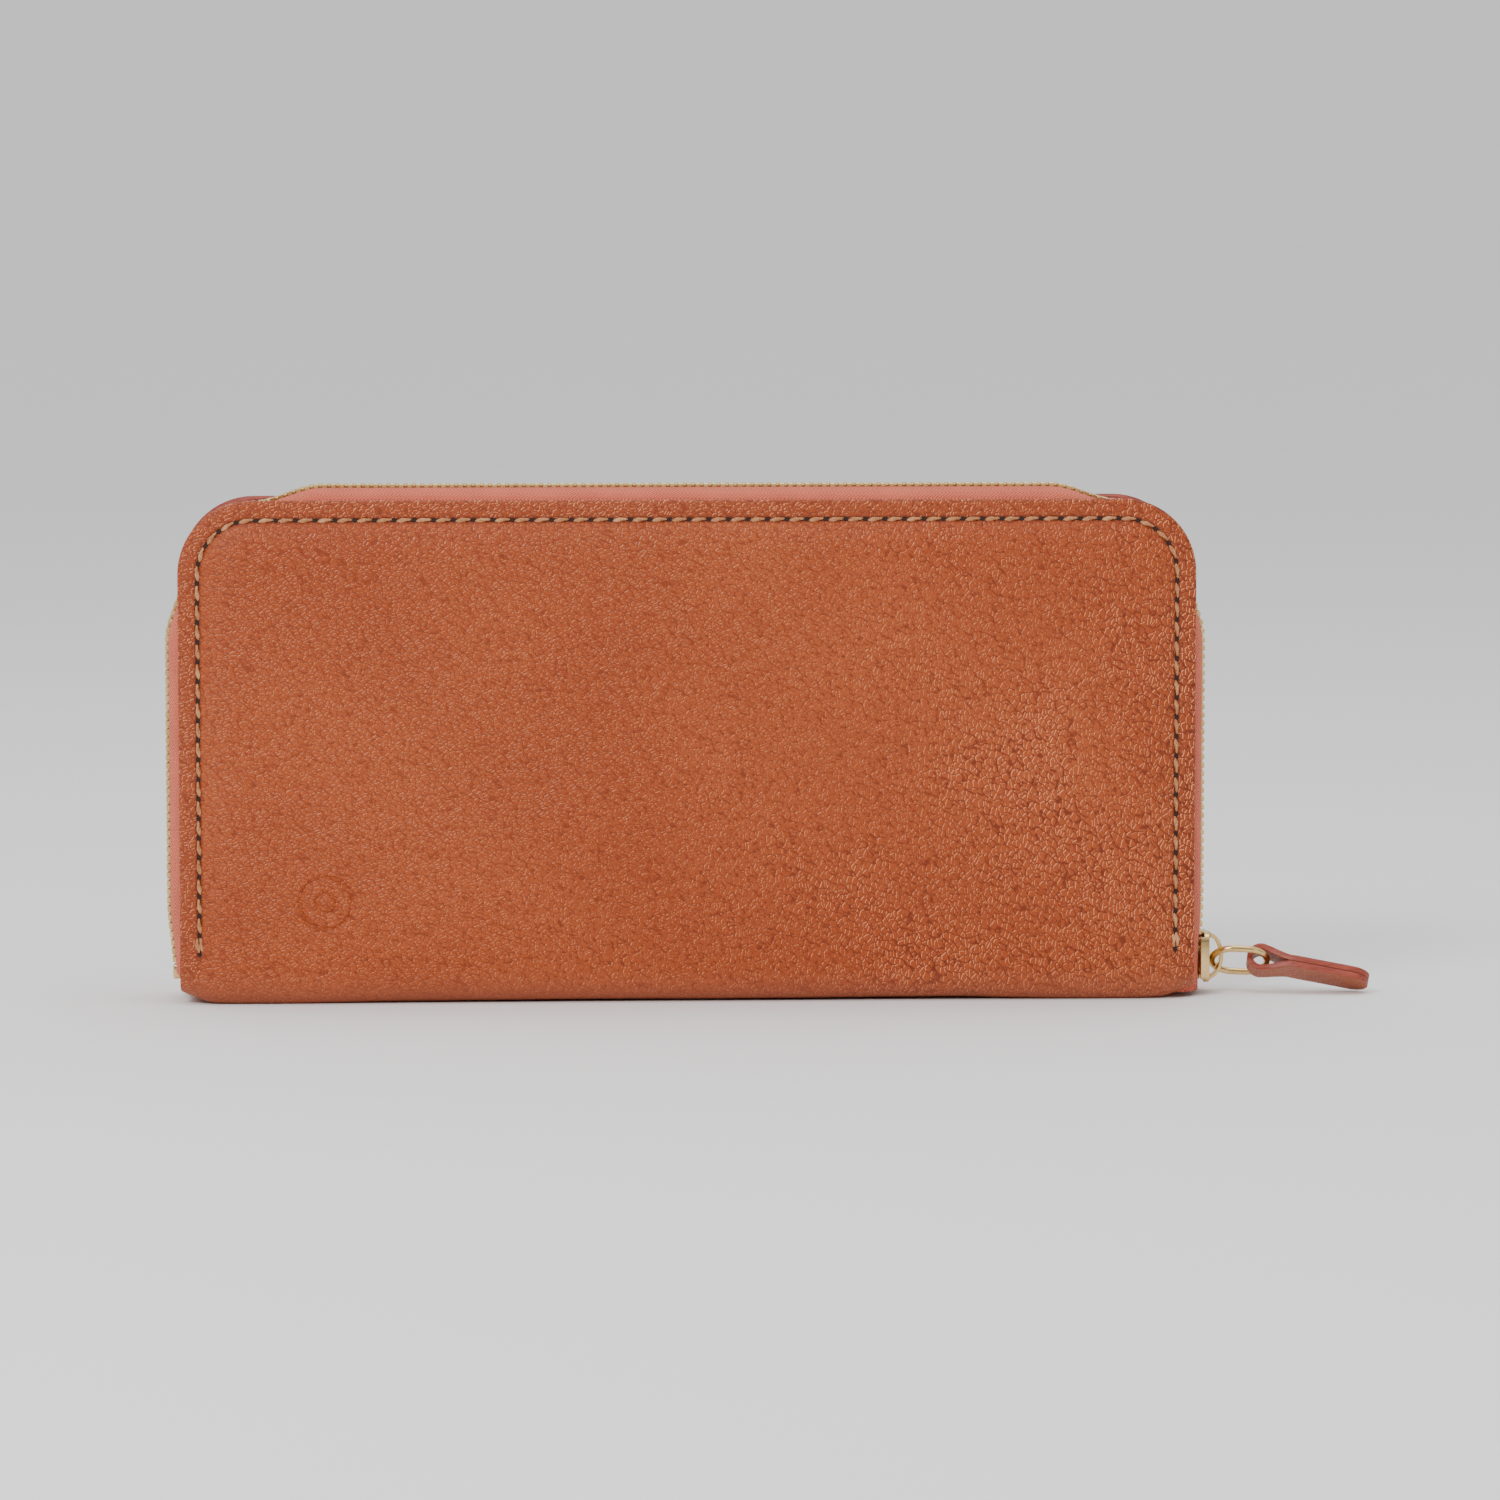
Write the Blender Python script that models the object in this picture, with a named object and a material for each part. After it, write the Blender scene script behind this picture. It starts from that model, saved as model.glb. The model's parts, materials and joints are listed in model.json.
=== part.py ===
"""A zip around wallet, closed and standing on its spine, with its front cover facing -Y.

Lengths are in millimetres, and add_node turns them into metres. The origin is the centre of the
spine's flat underside, +X runs along the wallet and +Z up to the top of its zip. Every piece of
the back cover is the mirror image, in Y, of the same piece of the front cover.
"""

import math

import bmesh
import bpy
from mathutils import Matrix, Vector

METRE = 0.001
GAP = 0.15

# Outer shape
WIDTH = 192.0
HEIGHT = 95.0
CORNER = 14.0
SPINE_FLAT = 7.5
SPINE_ROUND = 4.5
LEATHER = 1.3
EDGE_Y = 10.0
PANEL_BOTTOM = 4.8
SEAM_INSET = 3.7
SPINE_ARC = math.radians(48)
# How a cover swells from its edge to its flat middle: steps of (distance in, rise)
SWELL = ((0.6, 0.45), (3.1, 0.3), (2.3, 1.2), (4.0, 0.4))
FLAT_Y = EDGE_Y + sum(rise for _, rise in SWELL)

# Layers inside a cover, from the leather towards the middle of the wallet
STIFFENER = 0.45
STIFFENER_Y = 10.7
STIFFENER_INSET = 8.0
LINING = 0.35
LINING_Y = 10.1
LINING_INSET = 6.4
LINING_BOTTOM = 7.0
CARD_LAYER = 0.45
CARD_Y = 9.6
CARD_HALF_WIDTH = 88.0
CARD_BOTTOM = 9.0
CARD_BACKING_TOP = 78.0
CARD_POCKET_TOPS = (70.0, 60.0, 50.0, 40.0)
CARD_STACK_Y = CARD_Y - (len(CARD_POCKET_TOPS) + 1) * CARD_LAYER - len(CARD_POCKET_TOPS) * GAP

# Zip
BULGE = 2.7
BULGE_RAMP = 13.0
LOWER_TAPER = 14.0
LEFT_END_BULGE = 1.5
RIGHT_END_BULGE = 2.2
ZIP_END = 5.0
TAPE = 0.5
# The tape's middle surface across its width, at full bulge: (beyond the cover's edge, from mid-plane)
TAPE_SECTION = ((-6.0, 8.3), (-2.5, 8.3), (-0.7, 8.1), (0.45, 7.0), (1.35, 5.0), (1.75, 3.2), (1.75, 2.35))
TEETH_END = 7.0
TEETH_THICK = 1.6
TEETH_INNER, TEETH_OUTER = 0.6, 2.1
CHAIN_DEPTH = 0.95
THREAD_RADIUS = 0.35
THREAD_END = 9.3

# Slider, ring and pull tab at the right-hand end of the zip
SLIDER_BOTTOM, SLIDER_TOP = 2.2, 11.7
SLIDER_HALF_WIDTH = 4.75
SLIDER_PLATE = 0.95
CHANNEL_X = (96.2, 98.65)
POST_HALF_WIDTH = 0.4
BRIDGE_X = CHANNEL_X[1] + SLIDER_PLATE + 0.3
BRIDGE_RISE, BRIDGE_HALF_LENGTH = 2.8, 4.4
BRIDGE_WALL, BRIDGE_HALF_WIDTH = 0.7, 1.1
RING_LENGTH, RING_WIDTH, RING_WIRE = 11.9, 9.6, 1.3
RING_PIVOT = Vector((100.6, 0.0, 6.3))
RING_ROLL, RING_DROOP = math.radians(38), math.radians(4)
STRAP, STRAP_GAP = 1.1, 0.1
STRAP_LENGTH = 20.9
LOOP_RADIUS = 2.15
LOOP_TO_WIRE = 1.2
LOOP_END = 5.5
STRAP_HALF_WIDTH, LOOP_HALF_WIDTH = 3.3, 2.2
TAB_ROLL, TAB_YAW, TAB_SLOPE = math.radians(28), math.radians(10), math.radians(10)
STOP_HEIGHT = 2.8

# Coin pocket, with its own zip along its top edge
COIN_HALF_WIDTH = 88.0
COIN_WALL = 0.4
COIN_WALL_Y = 2.4
COIN_BOTTOM, COIN_TOP = 2.3, 71.5
COIN_TAPE = 0.2
COIN_TAPE_SECTION = ((1.75, 60.0), (1.75, 70.3), (1.3, 71.8))
COIN_ZIP_HALF = 78.5
COIN_TEETH_Y = (0.45, 1.05)
COIN_TEETH_Z = (71.0, 72.6)
COIN_SLIDER_X = -74.0
COIN_SLIDER_HALF_LENGTH = 3.5
COIN_CHANNEL_Z = (70.4, 73.0)
COIN_PLATE = 0.8
COIN_BRIDGE_Z = COIN_CHANNEL_Z[1] + COIN_PLATE + 0.3
COIN_PIVOT = Vector((COIN_SLIDER_X + 0.6, 0.0, 74.7))
COIN_PULL_LENGTH, COIN_PULL_THICK = 12.4, 0.8

# Gussets at both ends of each bill compartment
GUSSET = 0.3
GUSSET_X = 88.0
GUSSET_Y = (2.8, 6.3)
GUSSET_Z = (8.0, 70.0)
GUSSET_DEPTH = (4.0, 22.0)

MATERIALS = {
    "leather": ((0.426, 0.11, 0.044), 0.5, 0.0),
    "lining_fabric": ((0.2, 0.085, 0.05), 0.85, 0.0),
    "board": ((0.45, 0.4, 0.33), 0.9, 0.0),
    "zip_tape": ((0.56, 0.2, 0.145), 0.9, 0.0),
    "thread": ((0.55, 0.35, 0.2), 0.8, 0.0),
    "brass": ((0.85, 0.62, 0.3), 0.25, 1.0),
}

FRONT_HINGE = Vector((0.0, -SPINE_FLAT, SPINE_ROUND))
BACK_HINGE = Vector((0.0, SPINE_FLAT, SPINE_ROUND))
RING_ACROSS = Vector((0.0, -math.cos(RING_ROLL), math.sin(RING_ROLL)))
RING_UP = Vector((0.0, math.sin(RING_ROLL), math.cos(RING_ROLL)))
RING_ALONG = math.cos(RING_DROOP) * Vector((1, 0, 0)) - math.sin(RING_DROOP) * RING_UP
TAB_PIVOT = RING_PIVOT + (RING_LENGTH - RING_WIRE) * RING_ALONG
SLIDER_ORIGIN = Vector((CHANNEL_X[0], 0.0, SLIDER_BOTTOM))
COIN_SLIDER_ORIGIN = Vector((COIN_SLIDER_X, 0.0, COIN_BRIDGE_Z))

# Every body's parent body and the point its empty stands at, which is on its joint's axis
BODIES = {
    "root": (None, Vector((0, 0, 0))),
    "front_cover": ("root", FRONT_HINGE),
    "back_cover": ("root", BACK_HINGE),
    "slider": ("back_cover", SLIDER_ORIGIN),
    "pull_ring": ("slider", RING_PIVOT),
    "pull_tab": ("pull_ring", TAB_PIVOT),
    "coin_slider": ("root", COIN_SLIDER_ORIGIN),
    "coin_pull": ("coin_slider", COIN_PIVOT),
}


# Scene, bodies and materials


def clear_scene():
    for obj in list(bpy.data.objects):
        bpy.data.objects.remove(obj)


def make_material(name):
    colour, roughness, metallic = MATERIALS[name]
    material = bpy.data.materials.new(name)
    material.use_nodes = True
    shader = material.node_tree.nodes["Principled BSDF"]
    shader.inputs["Base Color"].default_value = (*colour, 1)
    shader.inputs["Roughness"].default_value = roughness
    shader.inputs["Metallic"].default_value = metallic
    return material


def make_bodies():
    """An empty for each body, on its joint's axis and parented as the joints are."""
    for name, (parent, origin) in BODIES.items():
        empty = bpy.data.objects.new(name + "_frame", None)
        empty.empty_display_size = 5 * METRE
        bpy.context.scene.collection.objects.link(empty)
        empty.location = origin * METRE
        if parent:
            empty.parent = bpy.data.objects[parent + "_frame"]
            empty.location = (origin - BODIES[parent][1]) * METRE


def add_node(name, bm, material, body, smooth=False):
    """Turns a mesh in millimetres, in the wallet's own frame, into the object of one sub-part."""
    bmesh.ops.translate(bm, verts=bm.verts, vec=-BODIES[body][1])
    bmesh.ops.scale(bm, verts=bm.verts, vec=(METRE, METRE, METRE))
    mesh = bpy.data.meshes.new(name)
    bm.to_mesh(mesh)
    bm.free()
    if smooth:
        mesh.shade_smooth()
        mesh.set_sharp_from_angle(angle=math.radians(40))
    mesh.materials.append(bpy.data.materials.get(material) or make_material(material))
    obj = bpy.data.objects.new(name, mesh)
    bpy.context.scene.collection.objects.link(obj)
    obj.parent = bpy.data.objects[body + "_frame"]
    return obj


def thicken(obj, thickness, offset=-1.0):
    """Offset -1 puts the thickness behind the surface, 0 half on each side."""
    solidify = obj.modifiers.new("Thickness", "SOLIDIFY")
    solidify.thickness = thickness * METRE
    solidify.offset = offset
    solidify.use_even_offset = True


def join_shapes(obj, others):
    """Unites shapes that overlap into one solid. The others stay as hidden guides."""
    for other in others:
        other.hide_render = True
        other.display_type = "WIRE"
        union = obj.modifiers.new("Join " + other.name, "BOOLEAN")
        union.operation = "UNION"
        union.object = other


# Shapes


def block(low, high):
    bm = bmesh.new()
    bmesh.ops.create_cube(bm, size=1)
    size = Vector(high) - Vector(low)
    bmesh.ops.scale(bm, verts=bm.verts, vec=size)
    bmesh.ops.translate(bm, verts=bm.verts, vec=(Vector(high) + Vector(low)) / 2)
    return bm


def mirrored(bm):
    """The same shape on the other side of the wallet's mid-plane."""
    bmesh.ops.scale(bm, verts=bm.verts, vec=(1, -1, 1))
    bmesh.ops.reverse_faces(bm, faces=bm.faces)
    return bm


def extruded_line(points, direction):
    """A surface swept from a line of points along a direction."""
    bm = bmesh.new()
    verts = [bm.verts.new(point) for point in points]
    edges = [bm.edges.new(pair) for pair in zip(verts, verts[1:])]
    swept = bmesh.ops.extrude_edge_only(bm, edges=edges)["geom"]
    moved = [part for part in swept if isinstance(part, bmesh.types.BMVert)]
    bmesh.ops.translate(bm, verts=moved, vec=direction)
    return bm


def extruded_face(points, direction):
    """A solid swept from a flat outline along a direction."""
    bm = bmesh.new()
    face = bm.faces.new([bm.verts.new(point) for point in points])
    swept = bmesh.ops.extrude_face_region(bm, geom=[face])["geom"]
    moved = [part for part in swept if isinstance(part, bmesh.types.BMVert)]
    bmesh.ops.translate(bm, verts=moved, vec=direction)
    bmesh.ops.recalc_face_normals(bm, faces=bm.faces)
    return bm


def cover_face(inset, bottom, y):
    """A flat face with a cover's outline, facing the front, moved in from the cover's edge."""
    bm = bmesh.new()
    half, top = WIDTH / 2 - inset, HEIGHT - inset
    corners = ((-half, bottom), (half, bottom), (half, top), (-half, top))
    verts = [bm.verts.new((x, -y, z)) for x, z in corners]
    bm.faces.new(verts)
    bmesh.ops.bevel(
        bm, geom=verts[2:], affect="VERTICES", offset=CORNER - inset, offset_type="OFFSET",
        segments=7, profile=0.5, material=-1,
    )
    bm.normal_update()
    return bm


def grid(rows, columns, place):
    """A surface of rows by columns points, each put at place(row, column)."""
    bm = bmesh.new()
    bmesh.ops.create_grid(bm, x_segments=rows - 1, y_segments=columns - 1, size=1)
    for vert in bm.verts:
        row = round((vert.co.x + 1) / 2 * (rows - 1))
        column = round((vert.co.y + 1) / 2 * (columns - 1))
        vert.co = place(row, column)
    return bm


def half_ellipse(reach, half_length, steps):
    """Points (along, out) of half an ellipse, from its -along end to its +along end."""
    angles = [math.pi * (1 - step / steps) for step in range(steps + 1)]
    return [(half_length * math.cos(angle), reach * math.sin(angle)) for angle in angles]


def arch_outline(reach, half_length, wall):
    """The closed outline of an arch: (along, out) round its outer face and back round its inner."""
    outer = half_ellipse(reach, half_length, 12)
    inner = half_ellipse(reach - wall, half_length - wall, 12)
    return outer + inner[::-1]


# The cover's edge, which the zip and the seam follow


def smooth_step(t):
    t = min(max(t, 0.0), 1.0)
    return t * t * (3 - 2 * t)


def bulge_at(z, end_bulge):
    """How far the zip stands out on an upright side: less at its lower end, none at the corner."""
    ramp = smooth_step((HEIGHT - CORNER - z) / BULGE_RAMP)
    taper = (BULGE - end_bulge) * smooth_step((ZIP_END + LOWER_TAPER - z) / LOWER_TAPER)
    return ramp * (BULGE - taper)


def edge_stations(end):
    """Points (x, z), outward directions and bulges along the edge, from lower left to lower right."""
    half, side_top = WIDTH / 2, HEIGHT - CORNER
    heights = [end + (side_top - end) * step / 12 for step in range(13)]
    turns = [math.radians(15 * step) for step in range(1, 6)]
    run = half - CORNER
    across = [run - BULGE_RAMP * step / 5 for step in range(6)]
    stations = [((-half, z), (-1, 0), bulge_at(z, LEFT_END_BULGE)) for z in heights]
    for turn in turns:
        out = (-math.cos(turn), math.sin(turn))
        stations.append(((-run + CORNER * out[0], side_top + CORNER * out[1]), out, 0.0))
    for x in [-x for x in across] + across[::-1]:
        stations.append(((x, HEIGHT), (0, 1), BULGE * smooth_step((run - abs(x)) / BULGE_RAMP)))
    for turn in reversed(turns):
        out = (math.cos(turn), math.sin(turn))
        stations.append(((run + CORNER * out[0], side_top + CORNER * out[1]), out, 0.0))
    stations += [((half, z), (1, 0), bulge_at(z, RIGHT_END_BULGE)) for z in reversed(heights)]
    return stations


def beside_edge(station, out, y):
    """A point out beyond the edge, on the front side. Sections are drawn at full bulge."""
    (x, z), (out_x, out_z), bulge = station
    base = TAPE_SECTION[0][0]
    reach = base + (out - base) * (bulge - base) / (BULGE - base)
    return Vector((x + reach * out_x, -y, z + reach * out_z))


# Pieces of one cover, drawn as the front cover's


def panel():
    bm = cover_face(0.0, PANEL_BOTTOM - 2 * CORNER, EDGE_Y)
    for distance, rise in SWELL:
        face = max(bm.faces, key=lambda part: part.calc_area())
        bmesh.ops.inset_region(bm, faces=[face], thickness=distance, depth=rise, use_boundary=True,
                               use_even_offset=True)
    everything = bm.verts[:] + bm.edges[:] + bm.faces[:]
    bmesh.ops.bisect_plane(bm, geom=everything, plane_co=(0, 0, PANEL_BOTTOM), plane_no=(0, 0, -1),
                           clear_outer=True)
    return bm


def card_layer(index):
    """The backing is layer 0, and each pocket strip lies on the one before it."""
    top = (CARD_BACKING_TOP, *CARD_POCKET_TOPS)[index]
    outer = CARD_Y - index * (CARD_LAYER + GAP)
    low = (-CARD_HALF_WIDTH, -outer, CARD_BOTTOM)
    return block(low, (CARD_HALF_WIDTH, -outer + CARD_LAYER, top))


def zip_tape():
    stations = edge_stations(ZIP_END)
    return grid(len(stations), len(TAPE_SECTION),
                lambda row, column: beside_edge(stations[row], *TAPE_SECTION[column]))


def zip_teeth():
    """A plain strip for the row of teeth on one tape."""
    stations = edge_stations(TEETH_END)
    middle = BULGE - CHAIN_DEPTH
    section = ((middle, TEETH_OUTER), (middle, TEETH_INNER))
    return grid(len(stations), 2, lambda row, column: beside_edge(stations[row], *section[column]))


def seam_thread():
    """The seam's thread as a thin tube that lies just clear of the leather."""
    curve = bpy.data.curves.new("seam_path", "CURVE")
    curve.dimensions = "3D"
    y = EDGE_Y + SWELL[0][1] + SWELL[1][1] + GAP + THREAD_RADIUS
    stations = edge_stations(THREAD_END)
    spline = curve.splines.new("POLY")
    spline.points.add(len(stations) - 1)
    for point, ((x, z), (out_x, out_z), _) in zip(spline.points, stations):
        point.co = (x - SEAM_INSET * out_x, -y, z - SEAM_INSET * out_z, 1)
    curve.bevel_depth = THREAD_RADIUS
    curve.bevel_resolution = 1
    curve.use_fill_caps = True
    guide = bpy.data.objects.new("seam_path", curve)
    bpy.context.scene.collection.objects.link(guide)
    bm = bmesh.new()
    bm.from_mesh(guide.to_mesh())
    bmesh.ops.remove_doubles(bm, verts=bm.verts, dist=0.001)
    bmesh.ops.recalc_face_normals(bm, faces=bm.faces)
    bpy.data.objects.remove(guide)
    return bm


def gusset():
    """A V of lining cloth at the left end of a bill compartment, deeper towards its top."""
    near, far = GUSSET_Y
    middle = (near + far) / 2

    def place(row, column):
        inward = GUSSET_DEPTH[row] if column == 1 else 0.0
        return Vector((-GUSSET_X + inward, -(near, middle, far)[column], GUSSET_Z[row]))

    return grid(2, 3, place)


def top_stop():
    middle = WIDTH / 2 + RIGHT_END_BULGE - CHAIN_DEPTH
    low = (middle - 0.8, -TEETH_OUTER, SLIDER_BOTTOM + 0.4)
    return block(low, (middle + 0.8, -TEETH_INNER - 0.3, SLIDER_BOTTOM + 2.2))


def add_cover(side, turned):
    """All the pieces of one cover: turned is mirrored for the back, and leaves the front as drawn."""
    body = side + "_cover"
    thicken(add_node(side + "_panel", turned(panel()), "leather", body, smooth=True), LEATHER)
    stiffener = turned(cover_face(STIFFENER_INSET, LINING_BOTTOM + 1, STIFFENER_Y))
    thicken(add_node(side + "_stiffener", stiffener, "board", body), STIFFENER)
    lining = turned(cover_face(LINING_INSET, LINING_BOTTOM, LINING_Y))
    thicken(add_node(side + "_lining", lining, "lining_fabric", body), LINING)
    add_node(side + "_card_backing", turned(card_layer(0)), "lining_fabric", body)
    for index in range(1, len(CARD_POCKET_TOPS) + 1):
        add_node(f"{side}_card_pocket_{index}", turned(card_layer(index)), "leather", body)
    thicken(add_node(side + "_zip_tape", turned(zip_tape()), "zip_tape", body, smooth=True), TAPE, 0.0)
    thicken(add_node(side + "_zip_teeth", turned(zip_teeth()), "brass", body), TEETH_THICK, 0.0)
    add_node(side + "_seam_thread", turned(seam_thread()), "thread", body, smooth=True)
    add_node(side + "_top_stop", turned(top_stop()), "brass", body)
    for end, flip in (("left", 1), ("right", -1)):
        cloth = turned(gusset())
        bmesh.ops.scale(cloth, verts=cloth.verts, vec=(flip, 1, 1))
        thicken(add_node(f"{side}_{end}_gusset", cloth, "lining_fabric", "root"), GUSSET, 0.0)


# Spine, bottom stop and coin pocket


def add_spine():
    angles = [SPINE_ARC * step / 5 for step in range(6)]
    rise = [(SPINE_FLAT + SPINE_ROUND * math.sin(a), SPINE_ROUND * (1 - math.cos(a))) for a in angles]
    half = WIDTH / 2
    line = [(-half, -y, z) for y, z in reversed(rise)] + [(-half, y, z) for y, z in rise]
    spine = extruded_line(line, (WIDTH, 0, 0))
    bmesh.ops.reverse_faces(spine, faces=[face for face in spine.faces if face.normal.z > 0])
    bmesh.ops.recalc_face_normals(spine, faces=spine.faces)
    thicken(add_node("spine", spine, "leather", "root", smooth=True), LEATHER)
    low = (-half + LINING_INSET, -SPINE_FLAT + 0.6, LEATHER + 0.3)
    add_node("spine_lining", block(low, (half - LINING_INSET, SPINE_FLAT - 0.6, low[2] + LINING)),
             "lining_fabric", "root")


def add_bottom_stop():
    middle = -WIDTH / 2 - LEFT_END_BULGE + CHAIN_DEPTH
    low = (middle - 1.1, -TEETH_OUTER, TEETH_END - 0.3 - STOP_HEIGHT)
    add_node("bottom_stop", block(low, (middle + 1.1, TEETH_OUTER, TEETH_END - 0.3)), "brass", "root")


def coin_tape():
    line = [(-COIN_ZIP_HALF - 3, -y, z) for y, z in COIN_TAPE_SECTION]
    return extruded_line(line, (2 * COIN_ZIP_HALF + 6, 0, 0))


def add_coin_pocket():
    for side, turned in (("front", lambda bm: bm), ("back", mirrored)):
        low = (-COIN_HALF_WIDTH, -COIN_WALL_Y, COIN_BOTTOM)
        wall = block(low, (COIN_HALF_WIDTH, -COIN_WALL_Y + COIN_WALL, COIN_TOP))
        add_node(f"coin_{side}_wall", turned(wall), "lining_fabric", "root")
        thicken(add_node(f"coin_{side}_tape", turned(coin_tape()), "zip_tape", "root"), COIN_TAPE, 0.0)
        inner, outer = COIN_TEETH_Y
        teeth = block((-COIN_ZIP_HALF, -outer, COIN_TEETH_Z[0]), (COIN_ZIP_HALF, -inner, COIN_TEETH_Z[1]))
        add_node(f"coin_{side}_teeth", turned(teeth), "brass", "root")
    for end, x in (("left", -COIN_ZIP_HALF - 1.8), ("right", COIN_ZIP_HALF + 0.3)):
        stop = block((x, -1.05, COIN_TEETH_Z[0]), (x + 1.5, 1.05, COIN_TEETH_Z[1]))
        add_node(f"coin_{end}_stop", stop, "brass", "root")


# Main slider with its ring and tab


def add_slider():
    inner, outer = CHANNEL_X
    low, high = SLIDER_BOTTOM, SLIDER_TOP
    plates = [block((x, -SLIDER_HALF_WIDTH, low), (x + SLIDER_PLATE, SLIDER_HALF_WIDTH, high))
              for x in (outer, inner - SLIDER_PLATE)]
    for plate in plates:
        upright = [edge for edge in plate.edges
                   if abs(edge.verts[0].co.x - edge.verts[1].co.x) > SLIDER_PLATE / 2]
        bmesh.ops.bevel(plate, geom=upright, affect="EDGES", offset=1.6, segments=3, profile=0.5, material=-1)
    body = add_node("slider_body", plates[0], "brass", "slider")
    inner_plate = add_node("slider_inner_plate", plates[1], "brass", "slider")
    post = block((inner - 0.3, -POST_HALF_WIDTH, low + 1.0), (outer + 0.3, POST_HALF_WIDTH, low + 3.8))
    join_shapes(body, [inner_plate, add_node("slider_post", post, "brass", "slider")])

    middle = (low + high) / 2
    outline = [(BRIDGE_X + out, -BRIDGE_HALF_WIDTH, middle + along)
               for along, out in arch_outline(BRIDGE_RISE, BRIDGE_HALF_LENGTH, BRIDGE_WALL)]
    add_node("slider_bridge", extruded_face(outline, (0, 2 * BRIDGE_HALF_WIDTH, 0)), "brass", "slider")


def add_ring():
    """A stadium of round wire: a short run each side, closed by two half turns."""
    radius = (RING_WIDTH - RING_WIRE) / 2
    straight = RING_LENGTH - RING_WIDTH
    bm = bmesh.new()
    bmesh.ops.create_circle(bm, segments=10, radius=RING_WIRE / 2)
    bmesh.ops.rotate(bm, verts=bm.verts, cent=(0, 0, 0), matrix=Matrix.Rotation(math.pi / 2, 3, "Y"))
    bmesh.ops.translate(bm, verts=bm.verts, vec=(radius, radius, 0))
    start = bm.edges[:]
    loop = start
    for centre in (radius + straight, radius):
        sign = 1 if centre > radius else -1
        moved = bmesh.ops.extrude_edge_only(bm, edges=loop)["geom"]
        verts = [part for part in moved if isinstance(part, bmesh.types.BMVert)]
        bmesh.ops.translate(bm, verts=verts, vec=(sign * straight, 0, 0))
        loop = [part for part in moved if isinstance(part, bmesh.types.BMEdge)]
        turned = bmesh.ops.spin(bm, geom=loop, cent=(centre, 0, 0), axis=(0, 0, -1), angle=math.pi,
                                steps=12, use_merge=False)["geom_last"]
        loop = [part for part in turned if isinstance(part, bmesh.types.BMEdge)]
    bmesh.ops.remove_doubles(bm, verts=bm.verts, dist=0.01)
    bmesh.ops.recalc_face_normals(bm, faces=bm.faces)
    frame = Matrix((RING_ALONG, RING_ACROSS, RING_ALONG.cross(RING_ACROSS))).transposed()
    bmesh.ops.transform(bm, matrix=Matrix.Translation(RING_PIVOT) @ frame.to_4x4(), verts=bm.verts)
    add_node("pull_ring", bm, "brass", "pull_ring", smooth=True)


def strap_line():
    """The folded strap's middle line in its own (along, up) plane, from one end round to the other."""
    layer = (STRAP + STRAP_GAP) / 2
    alongs = [STRAP_LENGTH - drop for drop in (0.0, 0.4, 1.2, 2.3, 3.5)] + [12.0, LOOP_END]
    upper = [(along, layer) for along in alongs]
    open_angle = math.radians(72)
    turns = [open_angle + (2 * math.pi - 2 * open_angle) * step / 14 for step in range(15)]
    loop = [(LOOP_RADIUS * math.cos(turn), LOOP_RADIUS * math.sin(turn)) for turn in turns]
    return upper + loop + [(along, -up) for along, up in reversed(upper)]


def strap_half_width(along):
    """Narrow where the strap turns round the ring, and rounded at its tip."""
    width = LOOP_HALF_WIDTH + (STRAP_HALF_WIDTH - LOOP_HALF_WIDTH) * smooth_step((along - 2) / 5)
    past = along - (STRAP_LENGTH - STRAP_HALF_WIDTH)
    if past > 0:
        width = math.sqrt(max(STRAP_HALF_WIDTH**2 - past**2, 0.36))
    return width


def add_tab():
    along = Vector((math.cos(TAB_SLOPE) * math.cos(TAB_YAW), -math.cos(TAB_SLOPE) * math.sin(TAB_YAW),
                    -math.sin(TAB_SLOPE)))
    level = Vector((-math.sin(TAB_YAW), -math.cos(TAB_YAW), 0))
    upright = level.cross(along)
    across = math.cos(TAB_ROLL) * level + math.sin(TAB_ROLL) * upright
    up = across.cross(along)
    line = strap_line()

    def place(row, column):
        t, height = line[row]
        return (TAB_PIVOT + (t - LOOP_TO_WIRE) * along + height * up
                + (2 * column - 1) * strap_half_width(t) * across)

    thicken(add_node("pull_tab", grid(len(line), 2, place), "leather", "pull_tab", smooth=True), STRAP, 0.0)


# Coin zip's slider and pull


def add_coin_slider():
    x, half = COIN_SLIDER_X, COIN_SLIDER_HALF_LENGTH
    low, high = COIN_CHANNEL_Z
    top = block((x - half, -2.9, high), (x + half, 2.9, high + COIN_PLATE))
    bottom = block((x - half, -1.3, low - COIN_PLATE), (x + half, 1.3, low))
    post = block((x - half + 0.4, -0.3, low - 0.3), (x - half + 2.0, 0.3, high + 0.3))
    body = add_node("coin_slider_body", top, "brass", "coin_slider")
    join_shapes(body, [add_node("coin_slider_lower_plate", bottom, "brass", "coin_slider"),
                       add_node("coin_slider_post", post, "brass", "coin_slider")])
    outline = [(x + along, -0.7, COIN_BRIDGE_Z + out) for along, out in arch_outline(1.9, 2.8, 0.7)]
    add_node("coin_slider_bridge", extruded_face(outline, (0, 1.4, 0)), "brass", "coin_slider")


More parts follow.
